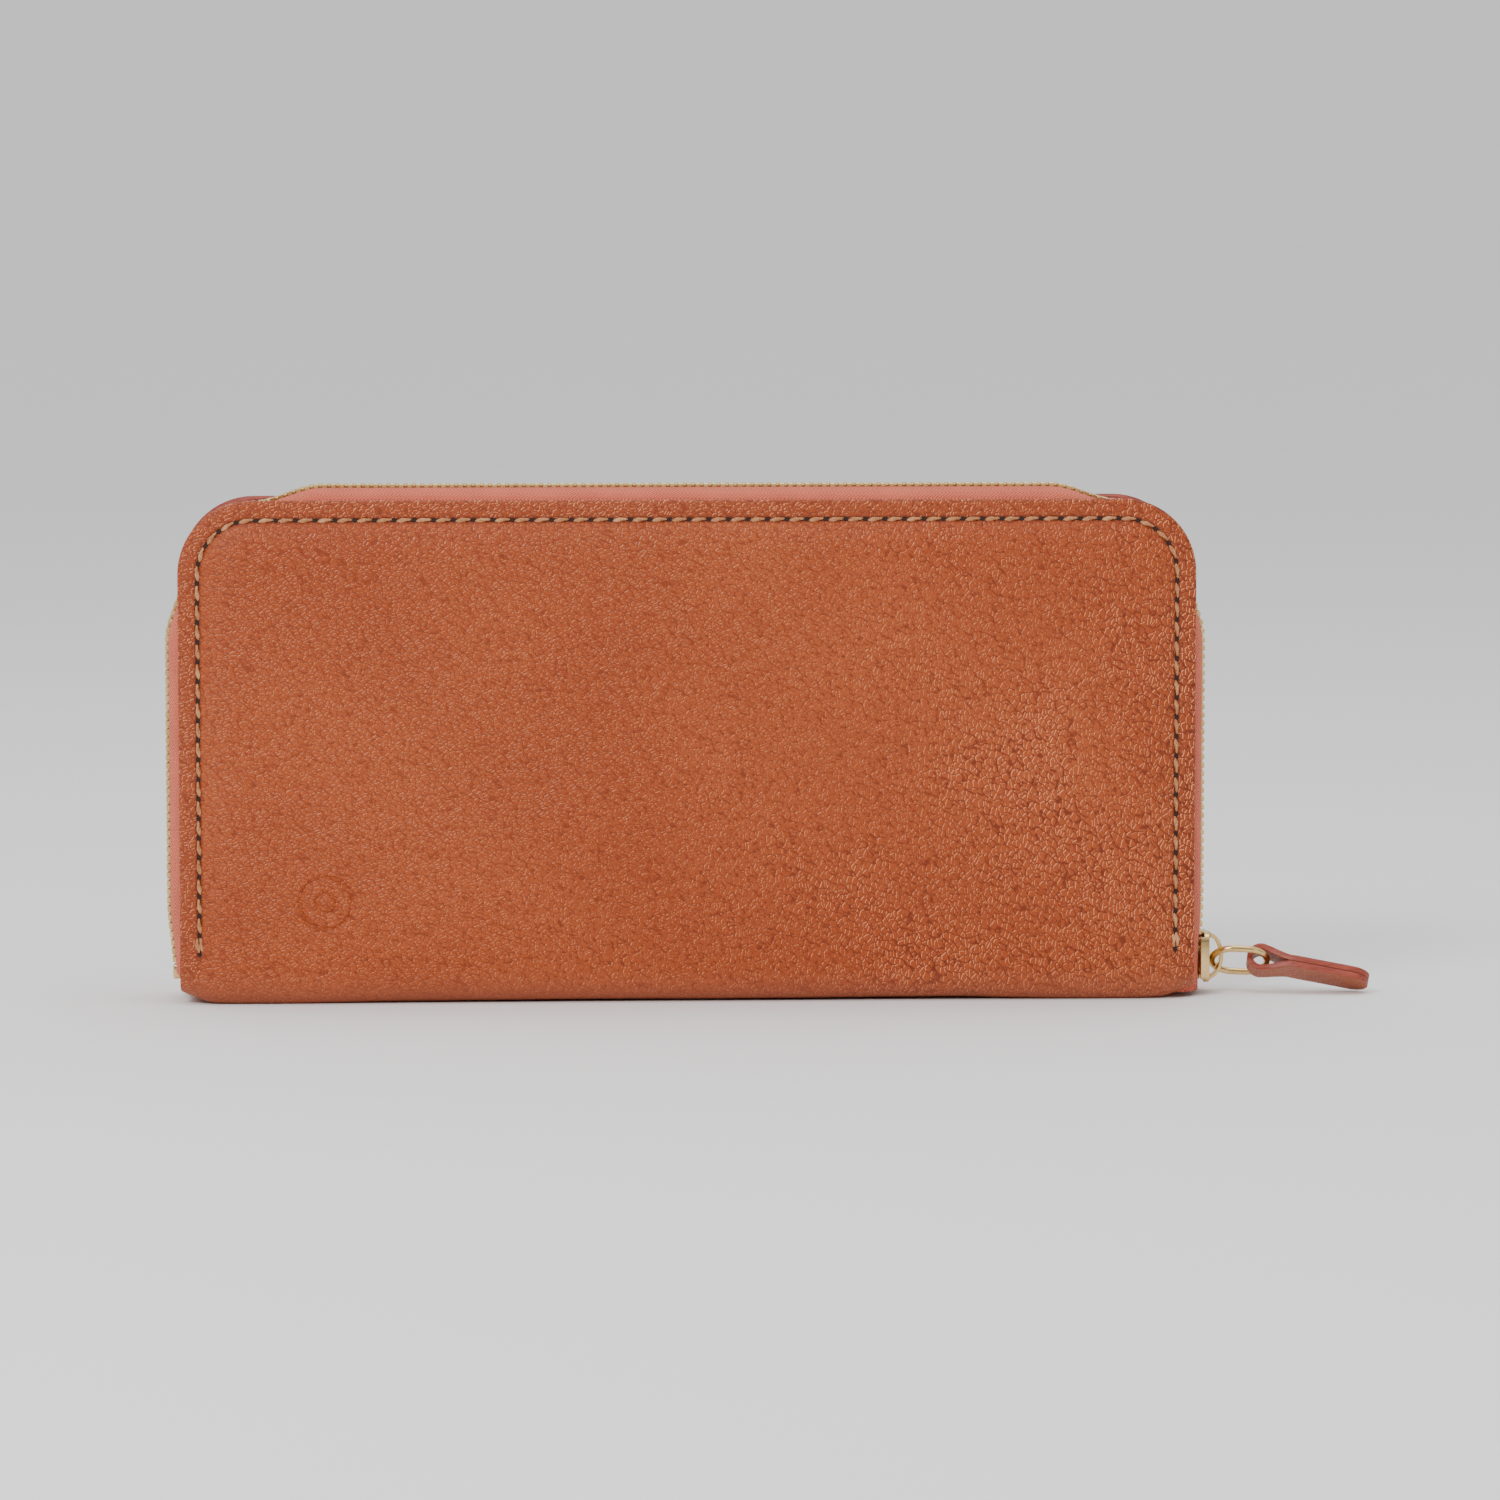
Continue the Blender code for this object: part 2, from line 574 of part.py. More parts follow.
def add_coin_pull():
    """A flat plate with an eye: its cross bar turns under the bridge."""
    half = COIN_PULL_THICK / 2
    bm = block((COIN_PIVOT.x - half, -2.1, COIN_PIVOT.z - half),
               (COIN_PIVOT.x + COIN_PULL_LENGTH, 2.1, COIN_PIVOT.z + half))
    tip = [edge for edge in bm.edges if all(vert.co.x > COIN_PIVOT.x + 1 for vert in edge.verts)
           and abs(edge.verts[0].co.z - edge.verts[1].co.z) > half]
    bmesh.ops.bevel(bm, geom=tip, affect="EDGES", offset=1.5, segments=4, profile=0.5, material=-1)
    pull = add_node("coin_pull", bm, "brass", "coin_pull")
    hole = add_node("coin_pull_eye", block((COIN_PIVOT.x + half, -1.1, COIN_PIVOT.z - 1),
                                           (COIN_PIVOT.x + 3.0, 1.1, COIN_PIVOT.z + 1)), "brass", "coin_pull")
    hole.hide_render = True
    hole.display_type = "WIRE"
    cut = pull.modifiers.new("Eye", "BOOLEAN")
    cut.operation = "DIFFERENCE"
    cut.object = hole


clear_scene()
make_bodies()
# The back cover hangs on the same spine as the front one and mirrors it.
add_cover("front", lambda bm: bm)
add_cover("back", mirrored)
add_spine()
add_bottom_stop()
add_coin_pocket()
add_slider()
add_ring()
add_tab()
add_coin_slider()
add_coin_pull()
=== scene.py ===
"""The looks of a zip around wallet, closed and standing on its spine, front cover facing -Y.

Lengths are in millimetres until finished() turns a piece into metres. A cover's pieces are all
drawn as the front cover's, and mirrored in Y for the back one.
"""

import json
import math

import bmesh
import bpy
from mathutils import Matrix, Vector, noise


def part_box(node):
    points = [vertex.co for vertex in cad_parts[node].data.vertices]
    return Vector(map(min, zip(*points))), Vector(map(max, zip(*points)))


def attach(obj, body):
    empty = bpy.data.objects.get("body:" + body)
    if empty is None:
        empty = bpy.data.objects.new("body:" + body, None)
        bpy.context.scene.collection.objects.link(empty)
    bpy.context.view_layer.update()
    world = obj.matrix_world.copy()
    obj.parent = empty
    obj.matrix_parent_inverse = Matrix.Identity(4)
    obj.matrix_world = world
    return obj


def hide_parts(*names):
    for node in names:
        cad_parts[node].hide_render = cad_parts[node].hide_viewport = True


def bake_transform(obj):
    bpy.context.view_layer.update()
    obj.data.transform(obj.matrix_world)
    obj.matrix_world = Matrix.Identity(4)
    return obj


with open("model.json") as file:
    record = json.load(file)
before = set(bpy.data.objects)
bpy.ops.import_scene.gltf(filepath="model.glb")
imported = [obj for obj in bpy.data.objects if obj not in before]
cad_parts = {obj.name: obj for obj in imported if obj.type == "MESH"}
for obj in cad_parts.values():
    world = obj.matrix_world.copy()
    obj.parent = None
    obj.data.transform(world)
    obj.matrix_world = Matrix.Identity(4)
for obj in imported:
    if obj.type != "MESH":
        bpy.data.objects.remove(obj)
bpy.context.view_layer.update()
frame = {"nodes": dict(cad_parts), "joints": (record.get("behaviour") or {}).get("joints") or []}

METRE = 0.001
UV_UNIT = 10.0  # millimetres in one unit of a flat pattern, so materials count in centimetres
BMVert, BMEdge = bmesh.types.BMVert, bmesh.types.BMEdge


# Sizes, some read from the frame and the rest given


def node_box(node):
    low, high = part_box(node)
    return Vector(low) / METRE, Vector(high) / METRE


def joint_at(name):
    """A joint's pivot and axis, in millimetres."""
    joint = next(joint for joint in frame["joints"] if joint["name"] == name)
    return Vector(joint.get("pos_m", (0, 0, 0))) / METRE, Vector(joint["axis"])


PANEL_LOW, PANEL_HIGH = node_box("front_panel")
HALF, TOP, FLAT_Y = PANEL_HIGH.x, PANEL_HIGH.z, -PANEL_LOW.y
EDGE_Y = 10.0
CORNER = 14.0
LEATHER = 1.3
HINGE = joint_at("front_cover_hinge")[0]
SPINE_FLAT, SPINE_ROUND = -HINGE.y, HINGE.z
SEAM_INSET, STITCH_PITCH, SEAM_BOTTOM = 3.7, 3.7, 9.4
STITCH_LENGTH, STITCH_RADIUS = 2.85, 0.37
HOLE_LENGTH, HOLE_WIDTH = 1.35, 0.8

# How the cover's leather rises from its edge: (distance in from the edge, height above the edge's)
CROWN = (
    (0.0, -0.25), (0.12, 0.05), (0.35, 0.25), (0.8, 0.36), (2.0, 0.52), (2.9, 0.6), (3.3, 0.52),
    (3.5, 0.32), (3.7, 0.24), (3.9, 0.34), (4.15, 0.62), (4.7, 0.92), (5.6, 1.35), (7.0, 1.8),
    (9.0, 2.15), (11.0, 2.3), (12.8, FLAT_Y - EDGE_Y),
)
CROWN_WIDTH = CROWN[-1][0]
SEAM_Y = EDGE_Y + 0.24

# The two plain rings pressed into the front
MARK = Vector((-68.4, 0, 19.2))
MARK_RINGS, MARK_LINE, MARK_DEPTH = (1.9, 4.9), 0.36, 0.42
MARK_REACH, MARK_CUTS = 6.25, 50

# Zip
BULGE, CORNER_BULGE, BULGE_RAMP, CHAIN_DEPTH = 2.7, -0.9, 13.0, 0.95
LEFT_END_BULGE, RIGHT_END_BULGE = 1.5, 2.2
ZIP_END, LOWER_TAPER = 5.0, 14.0
TEETH_END, TEETH_PITCH = 7.3, 1.6
TAPE, TAPE_WIDTH, TAPE_END = 0.5, 12.5, 1.0
# The tape's middle surface at full bulge: (beyond the cover's edge, from the wallet's mid-plane)
TAPE_SECTION = (
    (-6.0, 8.3), (-4.0, 8.3), (-2.5, 8.3), (-1.5, 8.25), (-0.7, 8.05), (-0.05, 7.6), (0.45, 7.0),
    (0.95, 6.1), (1.35, 5.0), (1.62, 4.0), (1.75, 3.1), (1.78, 2.4), (1.75, 1.9), (1.75, 1.2),
)
TAPE_BASE = TAPE_SECTION[0][0]

# Main slider, ring and tab
SLIDER_LOW, SLIDER_HIGH = node_box("slider_body")
PLATE, SLIDER_LIP = 0.95, 0.75
RING_PIVOT, RING_ACROSS = joint_at("ring_swing")
TAB_PIVOT, TAB_ACROSS = joint_at("tab_swing")
RING_WIDTH, RING_WIRE = 9.6, 1.3
STRAP, STRAP_GAP, STRAP_LENGTH = 1.1, 0.12, 20.9
LOOP_RADIUS, LOOP_TO_WIRE, LOOP_END = 2.15, 1.2, 5.5
STRAP_HALF_WIDTH, LOOP_HALF_WIDTH = 3.3, 2.2

# Inside
LINING, LINING_INSET, LINING_LENGTH = 0.3, 1.2, 101.0
GUSSET_EDGE, GUSSET_DEPTH_LOW, GUSSET_DEPTH_HIGH = 88, 4, 22
GUSSET_WIDTH, GUSSET_HEIGHT, GUSSET_SHARE = 47.0, 62.0, 0.63
CARD_HALF = node_box("front_card_backing")[1].x
COIN_HALF = node_box("coin_front_wall")[1].x
COIN_ZIP_HALF = node_box("coin_front_teeth")[1].x
COIN_TEETH_PITCH, COIN_STITCH_PITCH, COIN_TAPE_WIDTH = 1.5, 2.9, 12.2
CARD_STITCH_PITCH = 3
COIN_PIVOT = joint_at("coin_pull_swing")[0]


# Shader maths


class Shade:
    """A socket of a material's nodes. Python's operators on it add Math nodes."""

    def __init__(self, tree, socket=None):
        self.tree = tree
        self.socket = socket

    def node(self, kind, inputs, output=0, ramp=None, **settings):
        """Adds any node: its settings, a ramp's stops, then its sockets' values or links."""
        node = self.tree.nodes.new(kind)
        for name, value in settings.items():
            setattr(node, name, value)
        if ramp:
            while len(node.color_ramp.elements) < len(ramp):
                node.color_ramp.elements.new(0.5)
            for element, (position, colour) in zip(node.color_ramp.elements, ramp):
                element.position = position
                element.color = (*colour, 1)
        for key, value in inputs.items():
            if isinstance(value, Shade):
                self.tree.links.new(value.socket, node.inputs[key])
            else:
                node.inputs[key].default_value = value
        return Shade(self.tree, node.outputs[output])

    def math(self, operation, first, second=0.0, third=0.0, clamp=False):
        return self.node("ShaderNodeMath", {0: first, 1: second, 2: third}, operation=operation,
                         use_clamp=clamp)

    def __add__(self, other):
        return self.math("ADD", self, other)

    __radd__ = __add__

    def __sub__(self, other):
        return self.math("SUBTRACT", self, other)

    def __rsub__(self, other):
        return self.math("SUBTRACT", other, self)

    def __mul__(self, other):
        return self.math("MULTIPLY", self, other)

    __rmul__ = __mul__

    def __truediv__(self, other):
        return self.math("DIVIDE", self, other)

    def power(self, exponent):
        return self.math("POWER", self, exponent)

    def magnitude(self):
        return self.math("ABSOLUTE", self)

    def least(self, other):
        return self.math("MINIMUM", self, other)

    def most(self, other):
        return self.math("MAXIMUM", self, other)

    def ramped(self, low, high):
        """0 where this is at low, 1 where it is at high, and smooth between them."""
        return self.node("ShaderNodeMapRange", {"Value": self, "From Min": low, "From Max": high},
                         interpolation_type="SMOOTHSTEP", clamp=True)

    def wave(self, period):
        """From 0 to 1 and back in each period of this."""
        turn = self / period * math.tau
        return turn.math("SINE", turn) * 0.5 + 0.5

    def zigzag(self, period):
        """Up and down by half a period, in each period of this."""
        share = self / period
        return share.math("PINGPONG", share, 0.5) * period

    def mix(self, first, second):
        """A colour between two others, by this factor."""
        return self.node("ShaderNodeMix", {0: self, 6: first, 7: second}, output=2,
                         data_type="RGBA")

    def parts(self):
        """The x, y and z of this vector."""
        return [self.node("ShaderNodeSeparateXYZ", {0: self}, output=index) for index in range(3)]

    def stretched(self, x, y, z=1.0):
        return self.node("ShaderNodeVectorMath", {0: self, 1: (x, y, z)}, operation="MULTIPLY")

    def shifted(self, other):
        return self.node("ShaderNodeVectorMath", {0: self, 1: other}, operation="ADD")

    def turned(self, degrees, x, y):
        """This vector turned in its plane, after it is stretched by x and y."""
        return self.node("ShaderNodeMapping", {
            "Vector": self, "Rotation": (0, 0, math.radians(degrees)), "Scale": (x, y, 1)})


def rgb(red, green, blue):
    return (red, green, blue, 1.0)


def new_material(name, **constants):
    """A Principled material with its constant sockets set, its shader and a Shade to start from."""
    material = bpy.data.materials.new(name)
    material.use_nodes = True
    shader = material.node_tree.nodes["Principled BSDF"]
    for socket, value in constants.items():
        shader.inputs[socket.replace("_", " ")].default_value = value
    return material, shader, Shade(material.node_tree)


def connect(shade, shader, colour=None, roughness=None, height=None, depth=0.0, strength=1.0):
    """Feeds the shader's varying sockets. depth is the height of a full step, in millimetres."""
    links = shade.tree.links
    if colour:
        links.new(colour.socket, shader.inputs["Base Color"])
    if roughness:
        links.new(roughness.socket, shader.inputs["Roughness"])
    if height:
        bump = shade.node("ShaderNodeBump", {"Strength": strength, "Distance": depth * METRE,
                                             "Height": height})
        links.new(bump.socket, shader.inputs["Normal"])


def flat_pattern(shade):
    """The piece's own flat pattern, in centimetres."""
    return shade.node("ShaderNodeUVMap", {}, uv_map="flat")


def object_place(shade):
    """Object coordinates in centimetres."""
    place = shade.node("ShaderNodeTexCoord", {}, output=3)
    return place.stretched(100, 100, 100)


def clouds(shade, place, scale, detail=2.0, rough=0.5):
    return shade.node("ShaderNodeTexNoise", {"Vector": place, "Scale": scale, "Detail": detail,
                                             "Roughness": rough})


def cells(shade, place, scale, feature="F1"):
    return shade.node("ShaderNodeTexVoronoi", {"Vector": place, "Scale": scale}, feature=feature)


# Materials

# In centimetres. A pebble's lit side is found by reading the grain again this far from a point.
FINE_PEBBLE, COARSE_PEBBLE = 0.085, 0.105
LIT_SIDE = (0.0125, -0.008, 0)
# Painted shade for the bottoms of the grain's creases
CREASE_SHADE = rgb(0.2, 0.045, 0.018)


def drifted(shade, place, scale, detail, reach):
    """A place moved about in its plane by soft noise."""
    drift = shade.node("ShaderNodeTexNoise", {"Vector": place, "Scale": scale, "Detail": detail},
                       output=1)
    return place.shifted(drift.stretched(reach, reach, 0))


def creases(shade, place, cell, width=0.2):
    """1 on flat hide and 0 in the bottom of the creases that part it into cells."""
    return cells(shade, place, 1 / cell, "DISTANCE_TO_EDGE").ramped(0.0, width)


def grain(shade, place, cell, drift):
    """The height and the creases of hide with rounded pebbles of about that size in centimetres."""
    bent = drifted(shade, place, 2.2 / cell, 1.0, drift)
    distance = cells(shade, bent, 1 / cell)
    crease = creases(shade, bent, cell)
    pits = clouds(shade, place, 5 / cell, 3.0, 0.6)
    return (1 - distance * distance * 1.6) * 0.6 + crease * 0.4 + pits * 0.2, crease


def hide_relief(shade, place, coarseness):
    """The cover's grain: fine wide pebbles, and larger slanting ones where coarseness is near 1.
    It is 0 in the bottom of a crease."""
    bent = drifted(shade, place, 5.0, 1.5, 0.065)
    fine = creases(shade, bent.turned(-12, 0.84, 1.25), FINE_PEBBLE, 0.22)
    slanting = bent.turned(24, 1.22, 0.82).shifted((7.3, 2.9, 0))
    coarse = creases(shade, slanting, COARSE_PEBBLE, 0.2)
    return fine * (1 - coarseness) + coarse * coarseness


def cover_leather():
    """Tan pebbled hide: fine grain, coarser toward the lower right, a border darkened by painted
    shade, and painted light and shade over it.
    """
    material, shader, shade = new_material("tan_pebbled_leather", Specular_IOR_Level=0.32)
    place = flat_pattern(shade)
    across, up, _ = place.parts()

    # How far in from the cover's edge
    side = across.magnitude() + (CORNER - HALF) / UV_UNIT
    rise = up + (CORNER - TOP) / UV_UNIT
    inside = side.most(rise).least(0.0)
    outside = (side.most(0.0) * side.most(0.0) + rise.most(0.0) * rise.most(0.0)).power(0.5)
    inset = CORNER / UV_UNIT - outside - inside
    border = 1 - inset.ramped(0.3, 0.45)
    from_seam = (inset - SEAM_INSET / UV_UNIT).magnitude()
    # groove marks the stitch line above the seam's bottom, where painted shade lies along the seam
    groove = from_seam.ramped(0.09, 0.02) * up.ramped(0.75, 0.95)
    # underside marks the low part of the cover, where a paler painted reflection lies
    underside = 1 - up.ramped(-0.15, 0.75)

    # Grain
    patches = clouds(shade, place, 0.35, 1.5).ramped(0.35, 0.65)
    toward_corner = (across * 0.55 - up * 0.4).ramped(-5.0, 3.5)
    coarseness = toward_corner * 0.75 + patches * 0.25
    height = hide_relief(shade, place, coarseness)
    # The grain read again a little toward the light, to find each pebble's lit flank for its
    # painted highlight
    aside = hide_relief(shade, place.shifted(LIT_SIDE), coarseness)
    broken = clouds(shade, place, 7.0, 2.0).ramped(0.3, 0.62)
    lit_flank = (aside - height) * (broken * 0.75 + 0.35)
    pores = clouds(shade, place, 45.0, 3.0, 0.65)

    # Colour, from the hide's own to the pores, painted shade, painted highlights and painted
    # reflection over it
    tone = clouds(shade, place, 0.16, 3.0).ramped(0.3, 0.7)
    hide = tone.mix(rgb(0.375, 0.062, 0.0115), rgb(0.44, 0.083, 0.018))
    # The border outside the seam is darkened with painted shade, for its pillowed curve
    hide = (border * 0.7).mix(hide, rgb(0.33, 0.056, 0.012))
    shadow = height.ramped(0.6, 0.0) * (coarseness * 0.35 + 0.55)
    hide = shadow.mix(hide, rgb(0.15, 0.018, 0.0035))
    # Painted highlight on each pebble's lit flank, stronger where the grain is coarse and in the
    # border
    painted_highlight_strength = coarseness * 0.6 + border * 0.25 + 0.33
    hide = (lit_flank.ramped(0.08, 0.6) * painted_highlight_strength).mix(hide, rgb(1.0, 0.34, 0.14))
    hide = (pores.ramped(0.5, 0.8) * 0.15).mix(hide, rgb(0.32, 0.05, 0.01))
    # Painted shade in the seam's groove, which outlines the stitches
    hide = (groove * 0.7).mix(hide, rgb(0.12, 0.018, 0.005))
    # Paler painted reflection along the underside
    hide = (underside * 0.6).mix(hide, rgb(0.4, 0.115, 0.055))
    roughness = 0.56 - lit_flank.ramped(0.06, 0.5) * 0.22 - pores * 0.1
    connect(shade, shader, hide, roughness, height * 0.8 + pores * 0.12, 0.12, 0.8)
    return material


def strap_leather():
    material, shader, shade = new_material("tab_leather", Coat_Weight=0.05, Coat_Roughness=0.4)
    place = object_place(shade)
    height, crease = grain(shade, place, 0.07, 0.03)
    tone = clouds(shade, place, 1.6, 3.0).ramped(0.3, 0.7)
    hide = tone.mix(rgb(0.36, 0.088, 0.034), rgb(0.43, 0.118, 0.05))
    # Painted shade in the grain's creases
    hide = ((1 - crease) * 0.35).mix(hide, CREASE_SHADE)
    connect(shade, shader, hide, 0.42 + (1 - crease) * 0.2, height, 0.06, 0.8)
    return material


def pocket_leather():
    material, shader, shade = new_material("pocket_leather")
    place = object_place(shade)
    height, crease = grain(shade, place, 0.05, 0.02)
    tone = clouds(shade, place, 0.7, 3.0).ramped(0.3, 0.7)
    hide = tone.mix(rgb(0.33, 0.082, 0.033), rgb(0.385, 0.105, 0.045))
    # Painted shade in the grain's creases
    hide = ((1 - crease) * 0.25).mix(hide, CREASE_SHADE)
    connect(shade, shader, hide, 0.45 + (1 - crease) * 0.15, height, 0.035, 0.7)
    return material


def edge_paint():
    """Burnished, painted cut edge of leather."""
    material, shader, shade = new_material("edge_paint")
    place = object_place(shade)
    streaks = clouds(shade, place.stretched(1, 6, 6), 4.0, 3.0)
    colour = streaks.ramped(0.3, 0.7).mix(rgb(0.24, 0.034, 0.016), rgb(0.38, 0.062, 0.034))
    connect(shade, shader, colour, 0.34 + streaks * 0.2, streaks, 0.05, 0.5)
    return material


def needle_hole_shade():
    # Near-black painted shade that stands for the dark inside of a needle hole
    material, shader, shade = new_material("needle_hole_shade")
    hole_shade_noise = clouds(shade, object_place(shade), 20.0, 2.0)
    colour = hole_shade_noise.mix(rgb(0.01, 0.004, 0.0025), rgb(0.05, 0.015, 0.008))
    connect(shade, shader, colour, 0.75 + hole_shade_noise * 0.2, hole_shade_noise, 0.05, 0.5)
    return material


def linen_thread():
    """Waxed beige thread, streaked by its fibres, with soft paler patches of painted highlight."""
    material, shader, shade = new_material("linen_thread", Sheen_Weight=0.25, Sheen_Roughness=0.4)
    place = object_place(shade)
    fibres = clouds(shade, place, 60.0, 3.0, 0.65)
    patches = clouds(shade, place, 3.0, 2.0)
    colour = fibres.ramped(0.3, 0.7).mix(rgb(0.26, 0.08, 0.025), rgb(0.74, 0.33, 0.13))
    # Soft paler patches of painted highlight
    colour = (patches.ramped(0.45, 0.75) * 0.4).mix(colour, rgb(0.92, 0.52, 0.25))
    connect(shade, shader, colour, 0.55 + fibres * 0.25, fibres, 0.06, 0.7)
    return material


def woven_tape(name, pale, deep, pitch=0.07):
    """Herringbone zip tape. Its flat pattern runs along and across the tape."""
    material, shader, shade = new_material(name, Sheen_Weight=0.08, Sheen_Roughness=0.5,
                                           Specular_IOR_Level=0.25)
    place = flat_pattern(shade)
    along, across, _ = place.parts()
    wander = clouds(shade, place, 3.0, 2.0) * 0.02
    rib = (along + across.zigzag(pitch * 4) + wander).wave(pitch)
    yarn = rib * 0.65 + across.wave(pitch * 0.55) * 0.35
    fuzz = clouds(shade, place, 40.0, 3.0, 0.7)
    stain = clouds(shade, place, 1.2, 2.0).ramped(0.3, 0.75)
    colour = (yarn * 0.75 + fuzz * 0.3).mix(rgb(*deep), rgb(*pale))
    colour = (stain * 0.18).mix(colour, rgb(*[channel * 1.15 for channel in pale]))
    connect(shade, shader, colour, 0.78 + fuzz * 0.15, yarn * 0.8 + fuzz * 0.3, 0.22)
    return material


def lining_cloth():
    """Plain weave cotton twill for the linings and gussets."""
    material, shader, shade = new_material("lining_cloth", Sheen_Weight=0.2, Sheen_Roughness=0.5)
    place = object_place(shade)
    x, y, z = place.parts()
    twill, weft = (x + z + y).wave(0.045), (z - x - y).wave(0.03)
    slub = clouds(shade, place, 14.0, 3.0)
    colour = (twill * 0.5 + slub * 0.5).mix(rgb(0.11, 0.045, 0.026), rgb(0.24, 0.1, 0.058))
    weave = twill * 0.6 + weft * 0.3 + slub * 0.4
    connect(shade, shader, colour, 0.8 + slub * 0.12, weave, 0.06, 0.7)
    return material


def fibre_board():
    material, shader, shade = new_material("fibre_board")
    place = object_place(shade)
    fibres = clouds(shade, place.stretched(1, 1, 4), 6.0, 4.0, 0.7)
    colour = fibres.mix(rgb(0.33, 0.28, 0.2), rgb(0.55, 0.48, 0.37))
    connect(shade, shader, colour, 0.85 + fibres * 0.1, fibres, 0.05, 0.6)
    return material


def pale_gold(name, roughness, scratch=0.35):
    """Polished gold plating with fine rubbed scratches."""
    material, shader, shade = new_material(name, Metallic=1.0)
    place = object_place(shade)
    rubbed = clouds(shade, place.stretched(1, 7, 2), 12.0, 4.0, 0.7)
    film = clouds(shade, place, 3.5, 3.0)
    colour = film.ramped(0.3, 0.7).mix(rgb(0.72, 0.48, 0.19), rgb(0.86, 0.63, 0.3))
    colour = (rubbed.ramped(0.6, 0.85) * 0.3).mix(colour, rgb(0.95, 0.82, 0.6))
    connect(shade, shader, colour, roughness + rubbed * 0.16, rubbed, 0.012, scratch)
    return material


LEATHER_SKIN = cover_leather()
STRAP_SKIN = strap_leather()
POCKET_SKIN = pocket_leather()
PAINTED_EDGE = edge_paint()
HOLE = needle_hole_shade()
THREAD = linen_thread()
CORAL_TAPE = woven_tape("coral_zip_tape", (0.98, 0.23, 0.13), (0.3, 0.033, 0.016))
COIN_TAPE = woven_tape("brown_zip_tape", (0.3, 0.12, 0.07), (0.14, 0.05, 0.03), 0.05)
CLOTH = lining_cloth()
BOARD = fibre_board()
GOLD = pale_gold("pale_gold", 0.16)
TOOTH_GOLD = pale_gold("tooth_gold", 0.24, 0.5)


# Shapes


def only(kind, parts):
    return [part for part in parts if isinstance(part, kind)]


def face_out(bm):
    bmesh.ops.recalc_face_normals(bm, faces=bm.faces)


def mirrored(bm):
    """The same shape on the other side of the wallet's mid-plane."""
    bmesh.ops.scale(bm, verts=bm.verts, vec=(1, -1, 1))
    bmesh.ops.reverse_faces(bm, faces=bm.faces)
    return bm


def as_drawn(bm):
    return bm


def finished(name, bm, body, materials, stands_for=(), sharp=35, ride=True):
    """Turns a mesh in millimetres into a piece that rides on a body and stands for CAD nodes."""
    bmesh.ops.scale(bm, verts=bm.verts, vec=(METRE, METRE, METRE))
    mesh = bpy.data.meshes.new(name)
    bm.to_mesh(mesh)
    bm.free()
    mesh.shade_smooth()
    mesh.set_sharp_from_angle(angle=math.radians(sharp))
    for material in materials:
        mesh.materials.append(material)
    piece = bpy.data.objects.new(name, mesh)
    bpy.context.scene.collection.objects.link(piece)
    if stands_for:
        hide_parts(*stands_for)
    if ride:
        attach(piece, body)
    return piece


def thicken(piece, thickness, offset=-1.0, rim=0):
    """rim is how many slots after the surface's own material the cut edge's is."""
    solidify = piece.modifiers.new("Thickness", "SOLIDIFY")
    solidify.thickness = thickness * METRE
    solidify.offset = offset
    solidify.use_even_offset = True
    solidify.material_offset_rim = rim
    return piece


def declare(size):
    """Works out a cloth piece's cut size, given in millimetres, in metres; nothing uses the result.
    """
    flat = tuple(side * METRE for side in size)


def soften(piece, width, segments=2):
    bevel = piece.modifiers.new("Soft edges", "BEVEL")
    bevel.width = width * METRE
    bevel.segments = segments
    bevel.limit_method = "ANGLE"
    return piece


def block(low, high):
    bm = bmesh.new()
    bmesh.ops.create_cube(bm, size=1)
    bmesh.ops.scale(bm, verts=bm.verts, vec=Vector(high) - Vector(low))
    bmesh.ops.translate(bm, verts=bm.verts, vec=(Vector(high) + Vector(low)) / 2)
    return bm


def rounded_block(low, high, radius, segments=3):
    bm = block(low, high)
    bmesh.ops.bevel(bm, geom=bm.edges[:], affect="EDGES", offset=radius, segments=segments,
                    profile=0.5, material=-1)
    return bm


def extrude(bm, faces, move, hollow=False):
    """Sweeps faces along a vector. hollow takes away the first ones, as inside a solid they would
    be walls."""
    verts = only(BMVert, bmesh.ops.extrude_face_region(bm, geom=faces)["geom"])
    if hollow:
        bmesh.ops.delete(bm, geom=faces, context="FACES_ONLY")
    bmesh.ops.translate(bm, verts=verts, vec=move)
    return verts


def extruded_face(points, direction):
    bm = bmesh.new()
    extrude(bm, [bm.faces.new([bm.verts.new(point) for point in points])], direction)
    face_out(bm)
    return bm


def cover_face(inset, bottom, y):
    """A flat face with a cover's outline, facing the front, moved in from the cover's edge."""
    bm = bmesh.new()
    half, top = HALF - inset, TOP - inset
    corners = ((-half, bottom), (half, bottom), (half, top), (-half, top))
    verts = [bm.verts.new((x, -y, z)) for x, z in corners]
    bm.faces.new(verts)
    bmesh.ops.bevel(bm, geom=verts[2:], affect="VERTICES", offset=CORNER - inset,
                    offset_type="OFFSET", segments=16, profile=0.5, material=-1)
    bm.normal_update()
    return bm


def sink_rings(bm, steps):
    """Insets the largest face again and again, raising it by each step's rise."""
    for distance, rise in steps:
        face = max(bm.faces, key=lambda part: part.calc_area())
        bmesh.ops.inset_region(bm, faces=[face], thickness=distance, depth=rise,
                               use_boundary=True, use_even_offset=True)


def cut(bm, place, normal, clear=False, faces=None):
    """Cuts the mesh, or only some of its faces, along a plane."""
    if faces is None:
        faces = bm.faces[:]
    edges = {edge for face in faces for edge in face.edges}
    verts = {vert for face in faces for vert in face.verts}
    bmesh.ops.bisect_plane(bm, geom=[*verts, *edges, *faces], plane_co=place, plane_no=normal,
                           clear_outer=clear)


